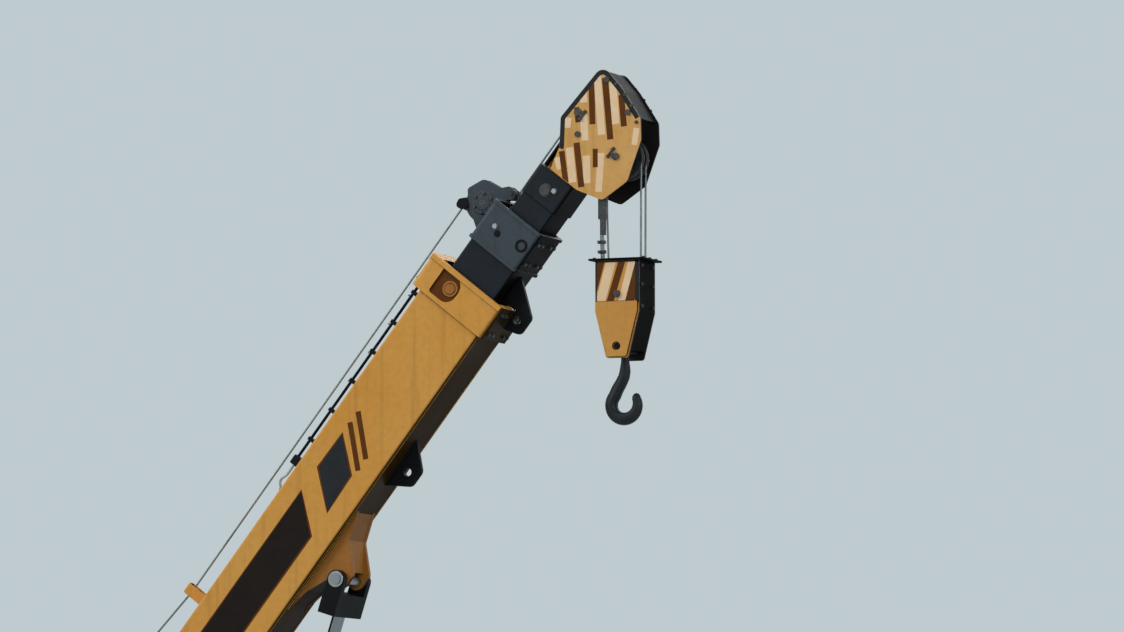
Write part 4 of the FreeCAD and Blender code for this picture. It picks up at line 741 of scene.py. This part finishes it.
def singleFittings():
    w, c, r, e = winchParts, cylinderParts, railParts, earParts
    up, sheath = boomWay(0, 0, 1), [(r["sheath"], 0), (r["sheath"], r["end"] - r["start"])]
    strap = washerProfile(c["barrel"] + c["strapGap"], c["barrel"] + c["strapOut"], c["strapWide"], 1)
    faces = ((e["near"], -1), (e["far"], 1))
    rollerPlace = boomPoint(e["rollerAlong"], e["near"] - e["rollerOut"], e["rollerRise"])
    buildPieces([
        ("winchCap", "base", blackEnamel, [
            (turnedOn, boomPoint(w["along"], w["capFace"], w["rise"]), (0, -1, 0), w["cap"], 40)]),
        ("motorPorts", "base", zincedBolt, [
            (turnedOn, boomPoint(w["along"], side, w["motorTop"]), up, w["port"], 12)
            for side in w["motorPort"]]),
        ("railTube", "base", blackEnamel, [
            (turnedOn, boomPoint(r["start"], r["side"], r["rise"]), boomWay(1, 0, 0), sheath, 20)]),
        ("railStop", "base", blackEnamel, [
            (chamferedPlate, boxLine(*r["stop"]), boomPoint, r["stopNear"], r["stopFar"], r["stopEdge"])]),
        # the ear's round covers, and the keeper and its roller over the rope at the back
        ("earCovers", "second", steelBlueEnamel, [
            (turnedOn, boomPoint(e["along"], face, e["rise"]), (0, way, 0), e["cover"], 48)
            for face, way in faces]),
        ("ropeKeeper", "second", blackEnamel, [
            (chamferedPlate, roundedOutline(e["keeper"]), boomPoint, face, face + e["keeperThick"] * way,
             e["keeperEdge"]) for face, way in faces]),
        ("keeperRoller", "second", oiledSteel, [(turnedOn, rollerPlace, (0, 1, 0), e["roller"], 20)]),
        # the cylinder's wiper, its port bosses and the straps for its pipe
        ("rodWiper", "lift_barrel", hoseRubber, [
            (turnedOn, cylinderPoint(c["gland"], 0, 0), cylinderUp, washerProfile(*c["wiper"]), 40)]),
        ("cylinderPorts", "lift_barrel", blackEnamel, [
            (turnedOn, cylinderPoint(along, 0, c["barrel"] - c["portSunk"]), cylinderBack, c["port"], 6)
            for along in c["ports"]] + [
            (turnedOn, cylinderPoint(along, 0, 0), cylinderUp, strap, 48) for along in c["straps"]]),
    ])


singleFittings()
print("fittings fixed")


# geometry node trees
socketKinds = {float: "NodeSocketFloat", int: "NodeSocketInt", type(None): "NodeSocketMaterial"}


def newTree(name, inputs):
    # a tree with its named inputs and their defaults; None stands for the finish
    tree = bpy.data.node_groups.new(name, "GeometryNodeTree")
    tree.interface.new_socket("Geometry", in_out="INPUT", socket_type="NodeSocketGeometry")
    for label, value in inputs.items():
        socket = tree.interface.new_socket(label, in_out="INPUT", socket_type=socketKinds[type(value)])
        if value is not None:
            socket.default_value = value
    tree.interface.new_socket("Geometry", in_out="OUTPUT", socket_type="NodeSocketGeometry")
    return tree, tiedTo(tree), addNode(tree, "NodeGroupInput").outputs


def finishTree(tree, geometry, finish):
    real = addNode(tree, "GeometryNodeRealizeInstances", {0: geometry})
    dressed = addNode(tree, "GeometryNodeSetMaterial", {0: real, "Material": finish})
    addNode(tree, "NodeGroupOutput", {0: dressed})


def layRopeTree():
    # six strands laid round the path: a star section that turns once in each lay
    tree, add, given = newTree("laidRope", {"Rope radius": 0.007, "Valley depth": 0.0013, "Lay length": 0.1,
                                            "Step": 0.012, "Finish": None})
    line = add("GeometryNodeMeshToCurve", {0: given["Geometry"]})
    even = add("GeometryNodeResampleCurve", {0: line, "Length": given["Step"]},
                   mode="LENGTH")
    run = add("GeometryNodeSplineParameter")
    turns = add("ShaderNodeMath", {0: run.outputs["Length"], 1: given["Lay length"]}, operation="DIVIDE")
    angle = add("ShaderNodeMath", {0: turns, 1: math.tau}, operation="MULTIPLY")
    twisted = add("GeometryNodeSetCurveTilt", {0: even, "Tilt": angle})
    valley = add("ShaderNodeMath", {0: given["Rope radius"], 1: given["Valley depth"]},
                     operation="SUBTRACT")
    star = add("GeometryNodeCurveStar", {"Points": 6, "Inner Radius": valley,
                                                   "Outer Radius": given["Rope radius"], "Twist": 0.0})
    tube = add("GeometryNodeCurveToMesh", {0: twisted, 1: star, "Scale": 1.0,
                                                     "Fill Caps": True})
    smooth = add("GeometryNodeSetShadeSmooth", {0: tube})
    finishTree(tree, smooth, given["Finish"])
    return tree


def weldTree():
    # a rounded bead with the ripples of a hand weld
    tree, add, given = newTree("weldBead", {"Bead width": 0.011, "Ripple pitch": 0.009, "Seed": 3,
                                            "Finish": None})
    line = add("GeometryNodeMeshToCurve", {0: given["Geometry"]})
    step = add("ShaderNodeMath", {0: given["Ripple pitch"], 1: 0.5}, operation="MULTIPLY")
    even = add("GeometryNodeResampleCurve", {0: line, "Length": step}, mode="LENGTH")
    place = add("GeometryNodeInputIndex")
    odd = add("ShaderNodeMath", {0: place, 1: 2.0}, operation="MODULO")
    ripple = add("ShaderNodeMath", {0: odd, 1: 0.22, 2: 0.82}, operation="MULTIPLY_ADD")
    chance = add("FunctionNodeRandomValue", {2: -0.09, 3: 0.09, "Seed": given["Seed"]})
    size = add("ShaderNodeMath", {0: ripple, 1: chance.outputs[1]}, operation="ADD")
    half = add("ShaderNodeMath", {0: given["Bead width"], 1: 0.5}, operation="MULTIPLY")
    ring = add("GeometryNodeCurvePrimitiveCircle", {"Resolution": 8, "Radius": half})
    bead = add("GeometryNodeCurveToMesh", {0: even, 1: ring, "Scale": size,
                                                     "Fill Caps": True})
    smooth = add("GeometryNodeSetShadeSmooth", {0: bead})
    finishTree(tree, smooth, given["Finish"])
    return tree


def boltTree():
    # a hexagon head on a round washer at each point, turned at random about its own axis
    tree, add, given = newTree("hexBolts", {"Across corners": 0.027, "Head height": 0.01,
                                            "Washer width": 0.03, "Washer thickness": 0.003, "Seed": 5,
                                            "Finish": None})
    half = add("ShaderNodeMath", {0: given["Across corners"], 1: 0.5}, operation="MULTIPLY")
    lift = add("ShaderNodeMath", {0: given["Head height"], 1: 0.5, 2: given["Washer thickness"]},
                   operation="MULTIPLY_ADD")
    crownHalf = add("ShaderNodeMath", {0: half, 1: 0.84}, operation="MULTIPLY")
    crownLift = add("ShaderNodeMath", {0: given["Head height"], 1: given["Washer thickness"]},
                        operation="ADD")
    wide = add("ShaderNodeMath", {0: given["Washer width"], 1: 0.5}, operation="MULTIPLY")
    rise = add("ShaderNodeMath", {0: given["Washer thickness"], 1: 0.5}, operation="MULTIPLY")
    both = add("GeometryNodeJoinGeometry")
    for count, radius, depth, middle in ((6, half, given["Head height"], lift),
                                         (12, crownHalf, 0.0014, crownLift),
                                         # head, crown and washer
                                         (20, wide, given["Washer thickness"], rise)):
        disc = add("GeometryNodeMeshCylinder", {"Vertices": count, "Radius": radius, "Depth": depth})
        up = add("ShaderNodeCombineXYZ", {2: middle})
        raised = add("GeometryNodeTransform", {0: disc, "Translation": up})
        tree.links.new(raised.outputs[0], both.inputs[0])
    outward = add("GeometryNodeInputNamedAttribute", {"Name": "outward"}, data_type="FLOAT_VECTOR")
    stand = add("FunctionNodeAlignRotationToVector", {"Vector": outward}, axis="Z")
    spin = add("FunctionNodeRandomValue", {2: 0.0, 3: math.tau, "Seed": given["Seed"]})
    spinRound = add("ShaderNodeCombineXYZ", {2: spin.outputs[1]})
    turned = add("FunctionNodeRotateRotation", {0: stand, 1: spinRound},
                     rotation_space="LOCAL")
    heads = add("GeometryNodeInstanceOnPoints", {"Points": given["Geometry"],
                                                           "Instance": both, "Rotation": turned})
    finishTree(tree, heads, given["Finish"])
    return tree


def pipeTree():
    # a round pipe or hose along a path whose corners are rounded off
    tree, add, given = newTree("roundPipe", {"Pipe radius": 0.008, "Bend radius": 0.04, "Finish": None})
    line = add("GeometryNodeMeshToCurve", {0: given["Geometry"]})
    bent = add("GeometryNodeFilletCurve", {0: line, "Count": 8, "Radius": given["Bend radius"],
                                                     "Limit Radius": True}, mode="POLY")
    ring = add("GeometryNodeCurvePrimitiveCircle", {"Resolution": 16, "Radius": given["Pipe radius"]})
    pipe = add("GeometryNodeCurveToMesh", {0: bent, 1: ring, "Fill Caps": True})
    finishTree(tree, add("GeometryNodeSetShadeSmooth", {0: pipe}), given["Finish"])
    return tree


ropeTree, beadTree, hexTree, roundTree = layRopeTree(), weldTree(), boltTree(), pipeTree()


def grown(name, source, tree, values, body):
    # runs a tree on a source mesh and keeps the result as one plain mesh on a body
    carrier = bpy.data.objects.new(name + "Source", source)
    bpy.context.collection.objects.link(carrier)
    modifier = carrier.modifiers.new("grow", "NODES")
    modifier.node_group = tree
    sockets = {item.name: item.identifier for item in tree.interface.items_tree if item.in_out == "INPUT"}
    for label, value in values.items():
        modifier[sockets[label]] = value
    bpy.context.view_layer.update()
    seen = carrier.evaluated_get(bpy.context.evaluated_depsgraph_get())
    mesh = bpy.data.meshes.new_from_object(seen)
    carrier.modifiers.remove(modifier)
    bpy.data.objects.remove(carrier)
    mesh.name = name
    return placePiece(name, mesh, body)


def pathMesh(lines):
    # open or closed lines of points as the edges of one mesh
    points, edges = [], []
    for line, closed in lines:
        start = len(points)
        points += [tuple(p) for p in line]
        edges += [(start + i, start + i + 1) for i in range(len(line) - 1)]
        if closed:
            edges.append((len(points) - 1, start))
    mesh = bpy.data.meshes.new("path")
    mesh.from_pydata(points, edges, [])
    return mesh


def spotMesh(spots):
    # points that carry the way their bolt faces
    mesh = bpy.data.meshes.new("spots")
    mesh.from_pydata([tuple(p) for p, way in spots], [], [])
    attribute = mesh.attributes.new("outward", "FLOAT_VECTOR", "POINT")
    attribute.data.foreach_set("vector", [c for p, way in spots for c in way])
    return mesh


# hoist rope, from the winch over the ear to the head, the block and the dead end
hoistRope = {
    # mm; what the strand tree takes, from the valley depth on, is in metres
    "radius": 7.0, "side": 50.0, "spacing": 80.0, "blockSide": 40.0, "deadSide": -74.0,
    "winch": (330.0, 545.0), "drum": 137.3, "drumStart": -134.0, "coilPitch": 14.8,
    "guide": (2105.0, 523.0), "ear": (5317.0, 411.0), "earRadius": 112.0,
    "hold": (5480.0, 287.0), "holdRadius": 32.3, "idler": (6190.0, 165.0), "idlerRadius": 90.0,
    "main": (6116.0, -219.0), "mainRadius": 122.0, "meet": 5676.0,
    "blockDrop": 875.0, "socketEnd": 490.0, "fallParts": 16, "coilParts": 60, "leaveHead": -52,
    "valley": 0.0014, "tailValley": 0.0013, "layLength": 0.105, "step": 0.012, "drumStep": 0.016,
}


def arcPoints(centre, radius, start, end, step=4):
    count = max(2, int(abs(end - start) / step))
    return [(centre[0] + radius * math.cos(math.radians(start + (end - start) * k / count)),
             centre[1] + radius * math.sin(math.radians(start + (end - start) * k / count)))
            for k in range(count + 1)]


def straight(first, last, step=60.0):
    count = max(1, int(math.hypot(last[0] - first[0], last[1] - first[1]) / step))
    return [(first[0] + (last[0] - first[0]) * k / count, first[1] + (last[1] - first[1]) * k / count)
            for k in range(count + 1)]


def tangentAngles(first, radiusFirst, second, radiusSecond, crossing):
    gap = (second[0] - first[0], second[1] - first[1])
    way, reach = math.degrees(math.atan2(gap[1], gap[0])), math.hypot(*gap)
    if crossing:
        tilt = math.degrees(math.acos((radiusFirst + radiusSecond) / reach))
        return way + tilt, way + tilt + 180
    tilt = math.degrees(math.acos((radiusFirst - radiusSecond) / reach))
    return way + tilt, way + tilt


def strandValues(valley, step):
    return {"Rope radius": hoistRope["radius"] / 1000, "Valley depth": valley,
            "Lay length": hoistRope["layLength"], "Step": step, "Finish": ropeWire}


def ropeMaking():
    r = hoistRope
    side, values = r["side"], strandValues(r["valley"], r["step"])

    def inBoom(points, y=side):
        return [boomPoint(p[0], y, p[1]) for p in points]

    def made(name, lines, body):
        return grown(name, pathMesh([(line, False) for line in lines]), ropeTree, values, body)

    way = math.degrees(math.atan2(r["guide"][1] - r["winch"][1], r["guide"][0] - r["winch"][0]))
    reach = math.hypot(r["guide"][0] - r["winch"][0], r["guide"][1] - r["winch"][1])
    leaveDrum = way + math.degrees(math.acos(r["drum"] / reach))
    start = arcPoints(r["winch"], r["drum"], leaveDrum, leaveDrum + 1)[0]
    fromWinch = made("ropeFromWinch", [inBoom(straight(start, r["guide"]))], "base")
    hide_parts("rope_base")
    alongBase = made("ropeAlongBase", [inBoom(straight(r["guide"], (r["ear"][0], r["guide"][1])))], None)
    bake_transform(alongBase)
    leave, arrive = tangentAngles(r["ear"], r["earRadius"], r["hold"], r["holdRadius"], True)
    level = r["hold"][1] - r["holdRadius"]
    overEar = made("ropeOverEar", [inBoom(arcPoints(r["ear"], r["earRadius"], 90, leave) +
                                          arcPoints(r["hold"], r["holdRadius"], arrive, 270))], "second")
    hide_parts("rope_second")
    toThird = made("ropeToThird", [inBoom(straight((r["hold"][0], level), (r["meet"], level)))], None)
    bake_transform(toThird)
    toHead = made("ropeToHead", [inBoom(straight((r["meet"], level), (r["idler"][0], level)))], None)
    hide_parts("rope_third")
    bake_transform(toHead)
    leave, arrive = tangentAngles(r["idler"], r["idlerRadius"], r["main"], r["mainRadius"], False)
    overHead = inBoom(arcPoints(r["idler"], r["idlerRadius"], 90, leave) +
                      arcPoints(r["main"], r["mainRadius"], arrive, r["leaveHead"]))
    back = inBoom(arcPoints(r["main"], r["mainRadius"], r["leaveHead"] + 180, r["leaveHead"]),
                  side - r["spacing"])
    roundHead = made("ropeRoundHead", [overHead, back], "head")
    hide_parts("rope_head")
    top = boomPoint(r["main"][0], 0, r["main"][1])
    low = Vector((0, 0, -r["blockDrop"] / 1000))

    def fall(x, yTop, yLow, drop=0.0):
        first = top + Vector((x / 1000, yTop / 1000, -drop / 1000))
        last = top + Vector((x / 1000, yLow / 1000, 0)) + low
        return [first.lerp(last, k / r["fallParts"]) for k in range(r["fallParts"] + 1)]

    m, b = r["mainRadius"], r["blockSide"]
    falls = made("ropeFalls", [fall(m, side, b), fall(-m, side - r["spacing"], b),
                               fall(m, side - r["spacing"], -b)], None)
    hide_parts("rope_falls")
    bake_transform(falls)
    deadEnd = made("ropeDeadEnd", [fall(-m, r["deadSide"], -b, r["socketEnd"])], None)
    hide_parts("rope_dead_end")
    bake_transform(deadEnd)
    loops = [[top + low + Vector((p[0] / 1000, y / 1000, p[1] / 1000)) for p in arcPoints((0, 0), m, 0, -180)]
             for y in (b, -b)]
    underBlock = made("ropeUnderBlock", loops, "block")
    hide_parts("rope_block")
    # the layer of rope that lies on the drum, ending where the rope leaves it
    turns = (side - r["drumStart"]) / r["coilPitch"]
    count = int(turns * r["coilParts"])
    coil = []
    for k in range(count + 1):
        angle = leaveDrum + 360 * (turns - turns * k / count)
        y = r["drumStart"] + (side - r["drumStart"]) * k / count
        coil.append(boomPoint(r["winch"][0] + r["drum"] * math.cos(math.radians(angle)), y,
                              r["winch"][1] + r["drum"] * math.sin(math.radians(angle))))
    values["Step"] = r["drumStep"]
    made("ropeOnDrum", [coil], "winch_drum")


ropeMaking()
print("hoist rope laid")

# forged hook with its shank and nut
hookShape = {
    "centreDrop": 700.0, "ringRadius": 88.0, "opening": 4, "shift": -6.0, "thick": 72.0, "deep": 82.0,
    "bowlFrom": 140, "bowlTo": 385, "bowlParts": 24, "thinFrom": 0.55, "thinBy": 0.30,
    "shank": 26.0, "shankDrops": (-250.0, -330, -380, -425), "sides": 24, "squareness": 0.86, "eggness": 0.17,
    # place in the block's plane, half depth, half thickness, and how much the section is an egg
    "neck": [(0, -455, 31.0, 30.0, 0.1), (-1, -485, 35.0, 32.0, 0.2), (-8, -520, 37.0, 33.0, 0.4),
             (-27, -558, 38.5, 34.0, 0.7), (-53, -600, 40.0, 35.0, 0.9)],
    "tip": [(-1, 13, 26.0, 23.0, 1.0), (-3, 25, 20.0, 17.0, 1.0), (-5, 32, 10.0, 9.0, 1.0)],
    "nutHalf": 44.0, "nut": [(-291.0, 0.94), (-287.0, 1.0), (-253.0, 1.0), (-247.0, 0.86)],
}


def hookPiece():
    h = hookShape
    centre = Vector((h["shift"], -h["centreDrop"]))
    line = [(Vector((0, z)), h["shank"], h["shank"], 0.0) for z in h["shankDrops"]]
    line += [(Vector((x, z)), deep, thick, egg) for x, z, deep, thick, egg in h["neck"]]
    for k in range(h["bowlParts"] + 1):
        angle = math.radians(h["bowlFrom"] + (h["bowlTo"] - h["bowlFrom"]) * k / h["bowlParts"])
        part = k / h["bowlParts"]
        swell = 1.0 - h["thinBy"] * max(0.0, (part - h["thinFrom"]) / (1 - h["thinFrom"])) ** 1.3
        out = Vector((math.cos(angle), math.sin(angle))) * (h["ringRadius"] + h["opening"] * part)
        line.append((centre + out, h["deep"] / 2 * swell, h["thick"] / 2 * swell, 1.0))
    tip = line[-1][0]
    line += [(tip + Vector((x, z)), deep, thick, egg) for x, z, deep, thick, egg in h["tip"]]
    shape = bmesh.new()
    rings, sides = [], h["sides"]
    for i, (point, deep, thick, egg) in enumerate(line):
        ahead = line[min(i + 1, len(line) - 1)][0] - line[max(i - 1, 0)][0]
        ahead.normalize()
        across = Vector((-ahead.y, ahead.x))
        ring = []
        for k in range(sides):
            a = math.tau * k / sides
            c, s = math.cos(a), math.sin(a)
            reach = math.copysign(abs(c) ** h["squareness"], c) * deep
            width = math.copysign(abs(s) ** h["squareness"], s) * thick * (1 + h["eggness"] * egg * c)
            spot = point + across * reach
            ring.append(shape.verts.new(blockPoint(spot.x, width, spot.y)))
        rings.append(ring)
    closeRings(shape, rings)
    # nut: six sides, chamfered top and bottom
    nut = [[shape.verts.new(blockPoint(h["nutHalf"] * size * math.cos(math.tau * k / 6),
                                       h["nutHalf"] * size * math.sin(math.tau * k / 6), z))
            for k in range(6)] for z, size in h["nut"]]
    closeRings(shape, nut)
    piece = keepPiece("forgedHook", shape, hookSteel, "hook")
    for face in piece.data.polygons:
        face.use_smooth = len(face.vertices) == 4 and face.index < len(line) * sides
    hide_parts("hook")


hookPiece()
print("hook forged")

# welds: ripple beads where plates meet
weldRuns = {
    # bead widths and ripple pitches in metres; the rest in mm along, across and above the boom
    "bead": 0.012, "pitch": 0.010, "seamBead": 0.009, "seamPitch": 0.016,
    "cheek": [(-178, -158), (160, -158), (420, 0, 60), (330, 310, 60), (-178, 310)], "cheekFace": 200,
    "straight": [(2464, 3256, 141, -171), (102, 558, 177, 341)],
    "guide": (2070, 2140, 13, 87, 2), "guideRise": 341,
    "seams": [(-176, 4652, side, rise) for side in (-171, 171) for rise in (340, -170)],
    "lug": [(3480, 3839, side, -171) for side in (-16, 16)],
    "ears": [(5168, 5398, side, 283) for side in (11, 89)],
    "collar": (4655, 201, -171, 341, 18), "band": (5124, 170, -108, 268, 14),
    "ledge": (5571, 141, -86, 176, 12),
}


def ringAround(along, half, low, top, corner):
    # the line where a collar's edge meets the box, rounded at its corners
    corners = [(half, top, corner), (-half, top, corner), (-half, low, corner), (half, low, corner)]
    return [boomPoint(along, p.x, p.y) for p in roundedOutline(corners, 5)]


def lineAlong(start, end, side, rise):
    count = max(2, int((end - start) / 80))
    return [boomPoint(start + (end - start) * k / count, side, rise) for k in range(count + 1)]


def weldMaking():
    w = weldRuns
    cheek = roundedOutline(w["cheek"])
    foot = [([boomPoint(p.x, side, p.y) for p in cheek], True) for side in (-w["cheekFace"], w["cheekFace"])]
    straightRuns = [(start, end, side * way, rise) for start, end, side,
                    rise in w["straight"] for way in (-1, 1)]
    guide = ([boomPoint(p.x, p.y, w["guideRise"]) for p in boxLine(*w["guide"])], True)

    def alongRuns(rows):
        return [(lineAlong(*row), False) for row in rows]

    def around(key):
        return [(ringAround(*w[key]), True)]

    thick, seam = (w["bead"], w["pitch"]), (w["seamBead"], w["seamPitch"])
    for name, body, finish, (bead, pitch), lines in (
            ("collarWelds", "base", amberEnamel, thick, around("collar") + foot + alongRuns(straightRuns) +
             [guide]),
            ("longSeams", "base", amberEnamel, seam, alongRuns(w["seams"])),
            ("lugWelds", "base", blackEnamel, thick, alongRuns(w["lug"])),
            ("bandWelds", "second", steelBlueEnamel, thick, around("band") + alongRuns(w["ears"])),
            ("ledgeWelds", "third", slateEnamel, thick, around("ledge"))):
        grown(name, pathMesh(lines), beadTree,
              {"Bead width": bead, "Ripple pitch": pitch, "Seed": 3, "Finish": finish}, body)


weldMaking()
print("welds run")

# bolts
boltSizes = {
    # across corners, head height, washer width and washer thickness, in metres
    "m20": (0.0346, 0.0125, 0.037, 0.003), "m16": (0.0277, 0.010, 0.030, 0.003),
    "m12": (0.0208, 0.0075, 0.024, 0.0025), "m8": (0.0150, 0.0053, 0.017, 0.0016),
}
darkBolts = ("collarBolts", "bandBolts", "earBolts", "keeperBolts", "guardBolts", "blockBolts")
boltPlaces = {
    # in mm: rows above and below by along, across and rise; the block's in its own frame
    "collar": ((4700, 4850), (-150, -90, 90, 150), (410, -206)),
    "band": ((5200, 5350), (-130, -70, 70, 130), (-122,)),
    "rim": ((-168, 168), (-110, 0, 110), 227), "cover": ((-150, 150), (-100, 100), (-80, 60, 180)),
    # on both sides by face, then along and rise
    "studs": (184, [(5281, 171)]), "locks": (152, [(5692, -10)]),
    "keepers": (171, [(6090, -178), (6142, -178), (6164, 126), (6216, 126)]),
    "guards": (165, [(6486, 62), (6464, -28), (6436, -108), (6372, -200)]),
    # rings of bolts by radius, count, face and the way they look
    "winch": [(80, 8, 246, 1), (50, 6, -188, -1)], "ear": [(62, 6, 7, -1), (62, 6, 93, 1)],
    "glandBack": 30, "glandCount": 8, "railAhead": 12, "railTop": 394,
}


def circleSpots(centre, radius, count, face, way):
    # spots on a circle in the side plane, all facing one way across the boom
    return [(boomPoint(centre[0] + radius * math.cos(math.tau * (k + 0.5) / count), face,
                       centre[1] + radius * math.sin(math.tau * (k + 0.5) / count)),
             (0, way, 0)) for k in range(count)]


def sideSpots(face, places):
    return [(boomPoint(along, face * way, rise), (0, way, 0)) for way in (-1, 1) for along, rise in places]


def levelSpots(alongs, sides, rises):
    return [(boomPoint(a, y, z), boomWay(0, 0, z)) for z in rises for a in alongs for y in sides]


def boltValues(size, finish):
    labels = ("Across corners", "Head height", "Washer width", "Washer thickness")
    return dict(zip(labels, boltSizes[size]), Seed=5, Finish=finish)


def boltMaking():
    b, c, r = boltPlaces, cylinderParts, railParts
    rimX, rimY, rimTop = b["rim"]
    rim = [(blockPoint(x, y, rimTop), (0, 0, 1)) for x in rimX for y in rimY]
    coverX, coverY, coverZ = b["cover"]
    cover = [(blockPoint(x, y, z), (math.copysign(1, x), 0,
                                    0)) for x in coverX for y in coverY for z in coverZ]
    gland = [(cylinderPoint(c["gland"] - b["glandBack"], c["glandRadius"] * math.sin(a),
                            c["glandRadius"] * math.cos(a)),
              cylinderBack * math.cos(a) + Vector((0, math.sin(a), 0)))
             for a in (math.tau * (k + 0.5) / b["glandCount"] for k in range(b["glandCount"]))]
    rail = [(boomPoint(r["clampFirst"] + b["railAhead"] + r["clampStep"] * k, r["side"], b["railTop"]),
             boomWay(0, 0, 1)) for k in range(r["clamps"])]
    winch, ear = [[spot for ring in b[key] for spot in circleSpots((parts["along"], parts["rise"]), *ring)]
                  for key, parts in (("winch", winchParts), ("ear", earParts))]
    for name, spots, size, body in (
            ("collarBolts", levelSpots(*b["collar"]), "m16", "base"),
            ("bandBolts", levelSpots(*b["band"]), "m16", "second"),
            ("bandStuds", sideSpots(*b["studs"]), "m20", "second"),
            ("lockBolts", sideSpots(*b["locks"]), "m20", "third"),
            ("blockBolts", rim + cover, "m12", "block"), ("glandBolts", gland, "m8", "lift_barrel"),
            ("railBolts", rail, "m8", "base"), ("winchBolts", winch, "m12", "base"),
            ("earBolts", ear, "m12", "second"), ("keeperBolts", sideSpots(*b["keepers"]), "m12", "head"),
            ("guardBolts", sideSpots(*b["guards"]), "m12", "head")):
        finish = oiledSteel if name in darkBolts else zincedBolt
        grown(name, spotMesh(spots), hexTree, boltValues(size, finish), body)


boltMaking()

# grips on the dead end
ropeGrips = {
    "drops": (46.0, 108.0), "tail": 15.0, "tailEnd": 165.0, "reach": 21.0, "lean": 34 / 384,
    "socket": (-122, 385), "half": 12, "high": 10, "saddle": (-8, -17), "bridge": (8, 14), "edge": 1.5,
    "bowGap": 6, "bowOut": 16, "bowBack": 11, "nutOut": 7, "nutFace": -17, "wire": 0.004, "bend": 0.012,
}


def gripMaking():
    # the dead end's spare tail lies beside its standing part, held by two U-bolt grips
    g, r = ropeGrips, hoistRope

    def beside(x, y, drop):
        return blockPoint(x + g["socket"][0], r["deadSide"] + g["lean"] * drop + y, g["socket"][1] - drop)

    saddles, bows, nuts = bmesh.new(), [], []
    for drop in g["drops"]:  # on each a saddle, a bridge, the bow's two legs and the nuts
        line = boxLine(-g["tail"] - g["half"], g["half"], drop - g["high"], drop + g["high"], 4)
        for near, far in (g["saddle"], g["bridge"]):
            chamferedPlate(saddles, line, beside, near, far, g["edge"])
        left, right = -g["tail"] - g["bowOut"], g["bowOut"]
        for level in (drop - g["bowGap"], drop + g["bowGap"]):
            bows.append(([beside(x, y, level) for x, y in (
                (left, -g["reach"]), (left, g["bowBack"]), (right, g["bowBack"]), (right, -g["reach"]))],
                         False))
        nuts += [(beside(x, g["nutFace"], drop), (0, -1, 0)) for x in (-g["tail"] - g["nutOut"], g["nutOut"])]
    keepPiece("gripSaddles", saddles, oiledSteel, "head")
    grown("gripBows", pathMesh(bows), roundTree,
          {"Pipe radius": g["wire"], "Bend radius": g["bend"], "Finish": oiledSteel}, "head")
    grown("gripNuts", spotMesh(nuts), hexTree, boltValues("m8", oiledSteel), "head")
    tail = [beside(-g["tail"], 0, drop) for drop in (2, 60, 120, g["tailEnd"])]
    grown("deadEndTail", pathMesh([(tail, False)]), ropeTree, strandValues(r["tailValley"], r["step"]),
          "head")


gripMaking()
print("bolts set")

# steel hydraulic pipes
pipeRuns = {
    # body, whose frame the points are in, pipe radius and bend radius in metres, the paths in mm
    "motorPipes": ("base", boomPoint, 0.010, 0.055, [
        [(330, 290, 620), (330, 290, 690), (455, 290, 690), (590, 290, 400), (640, 262, 250),
         (640, 206, 250)],
        [(330, 320, 620), (330, 320, 720), (500, 320, 720), (660, 320, 400), (710, 262, 250),
         (710, 206, 250)]]),
    "railFeed": ("base", boomPoint, 0.008, 0.035, [
        [(3232, -150, 372), (3150, -150, 372), (3092, -150, 392), (3050, -150, 350)]]),
    "cylinderPipe": ("lift_barrel", cylinderPoint, 0.008, 0.03, [
        [(190, 0, 88), (190, 0, 106), (1290, 0, 106), (1290, 0, 88)]]),
}
bulkheadParts = {
    "feed": (3048, -150, 340), "feedProfile": [(18, 0), (18, 6), (13, 8), (13, 16), (10, 18), (0, 18)],
    "motor": [(640, 200, 250), (710, 200, 250)],
    "motorProfile": [(18, 0), (18, 7), (13, 9), (13, 18), (11, 20), (0, 20)],
}


def pipeMaking():
    for name, (body, toWorld, radius, bend, paths) in pipeRuns.items():
        lines = [([toWorld(*p) for p in path], False) for path in paths]
        grown(name, pathMesh(lines), roundTree,
              {"Pipe radius": radius, "Bend radius": bend, "Finish": zincedBolt}, body)
    b = bulkheadParts
    buildPieces([("pipeBulkheads", "base", zincedBolt, [
        (turnedOn, boomPoint(*b["feed"]), boomWay(0, 0, 1), b["feedProfile"], 6)] + [
        (turnedOn, boomPoint(*place), (0, 1, 0), b["motorProfile"], 6) for place in b["motor"]])])


pipeMaking()
print("pipes run")

bpy.context.scene.view_settings.view_transform = "Standard"
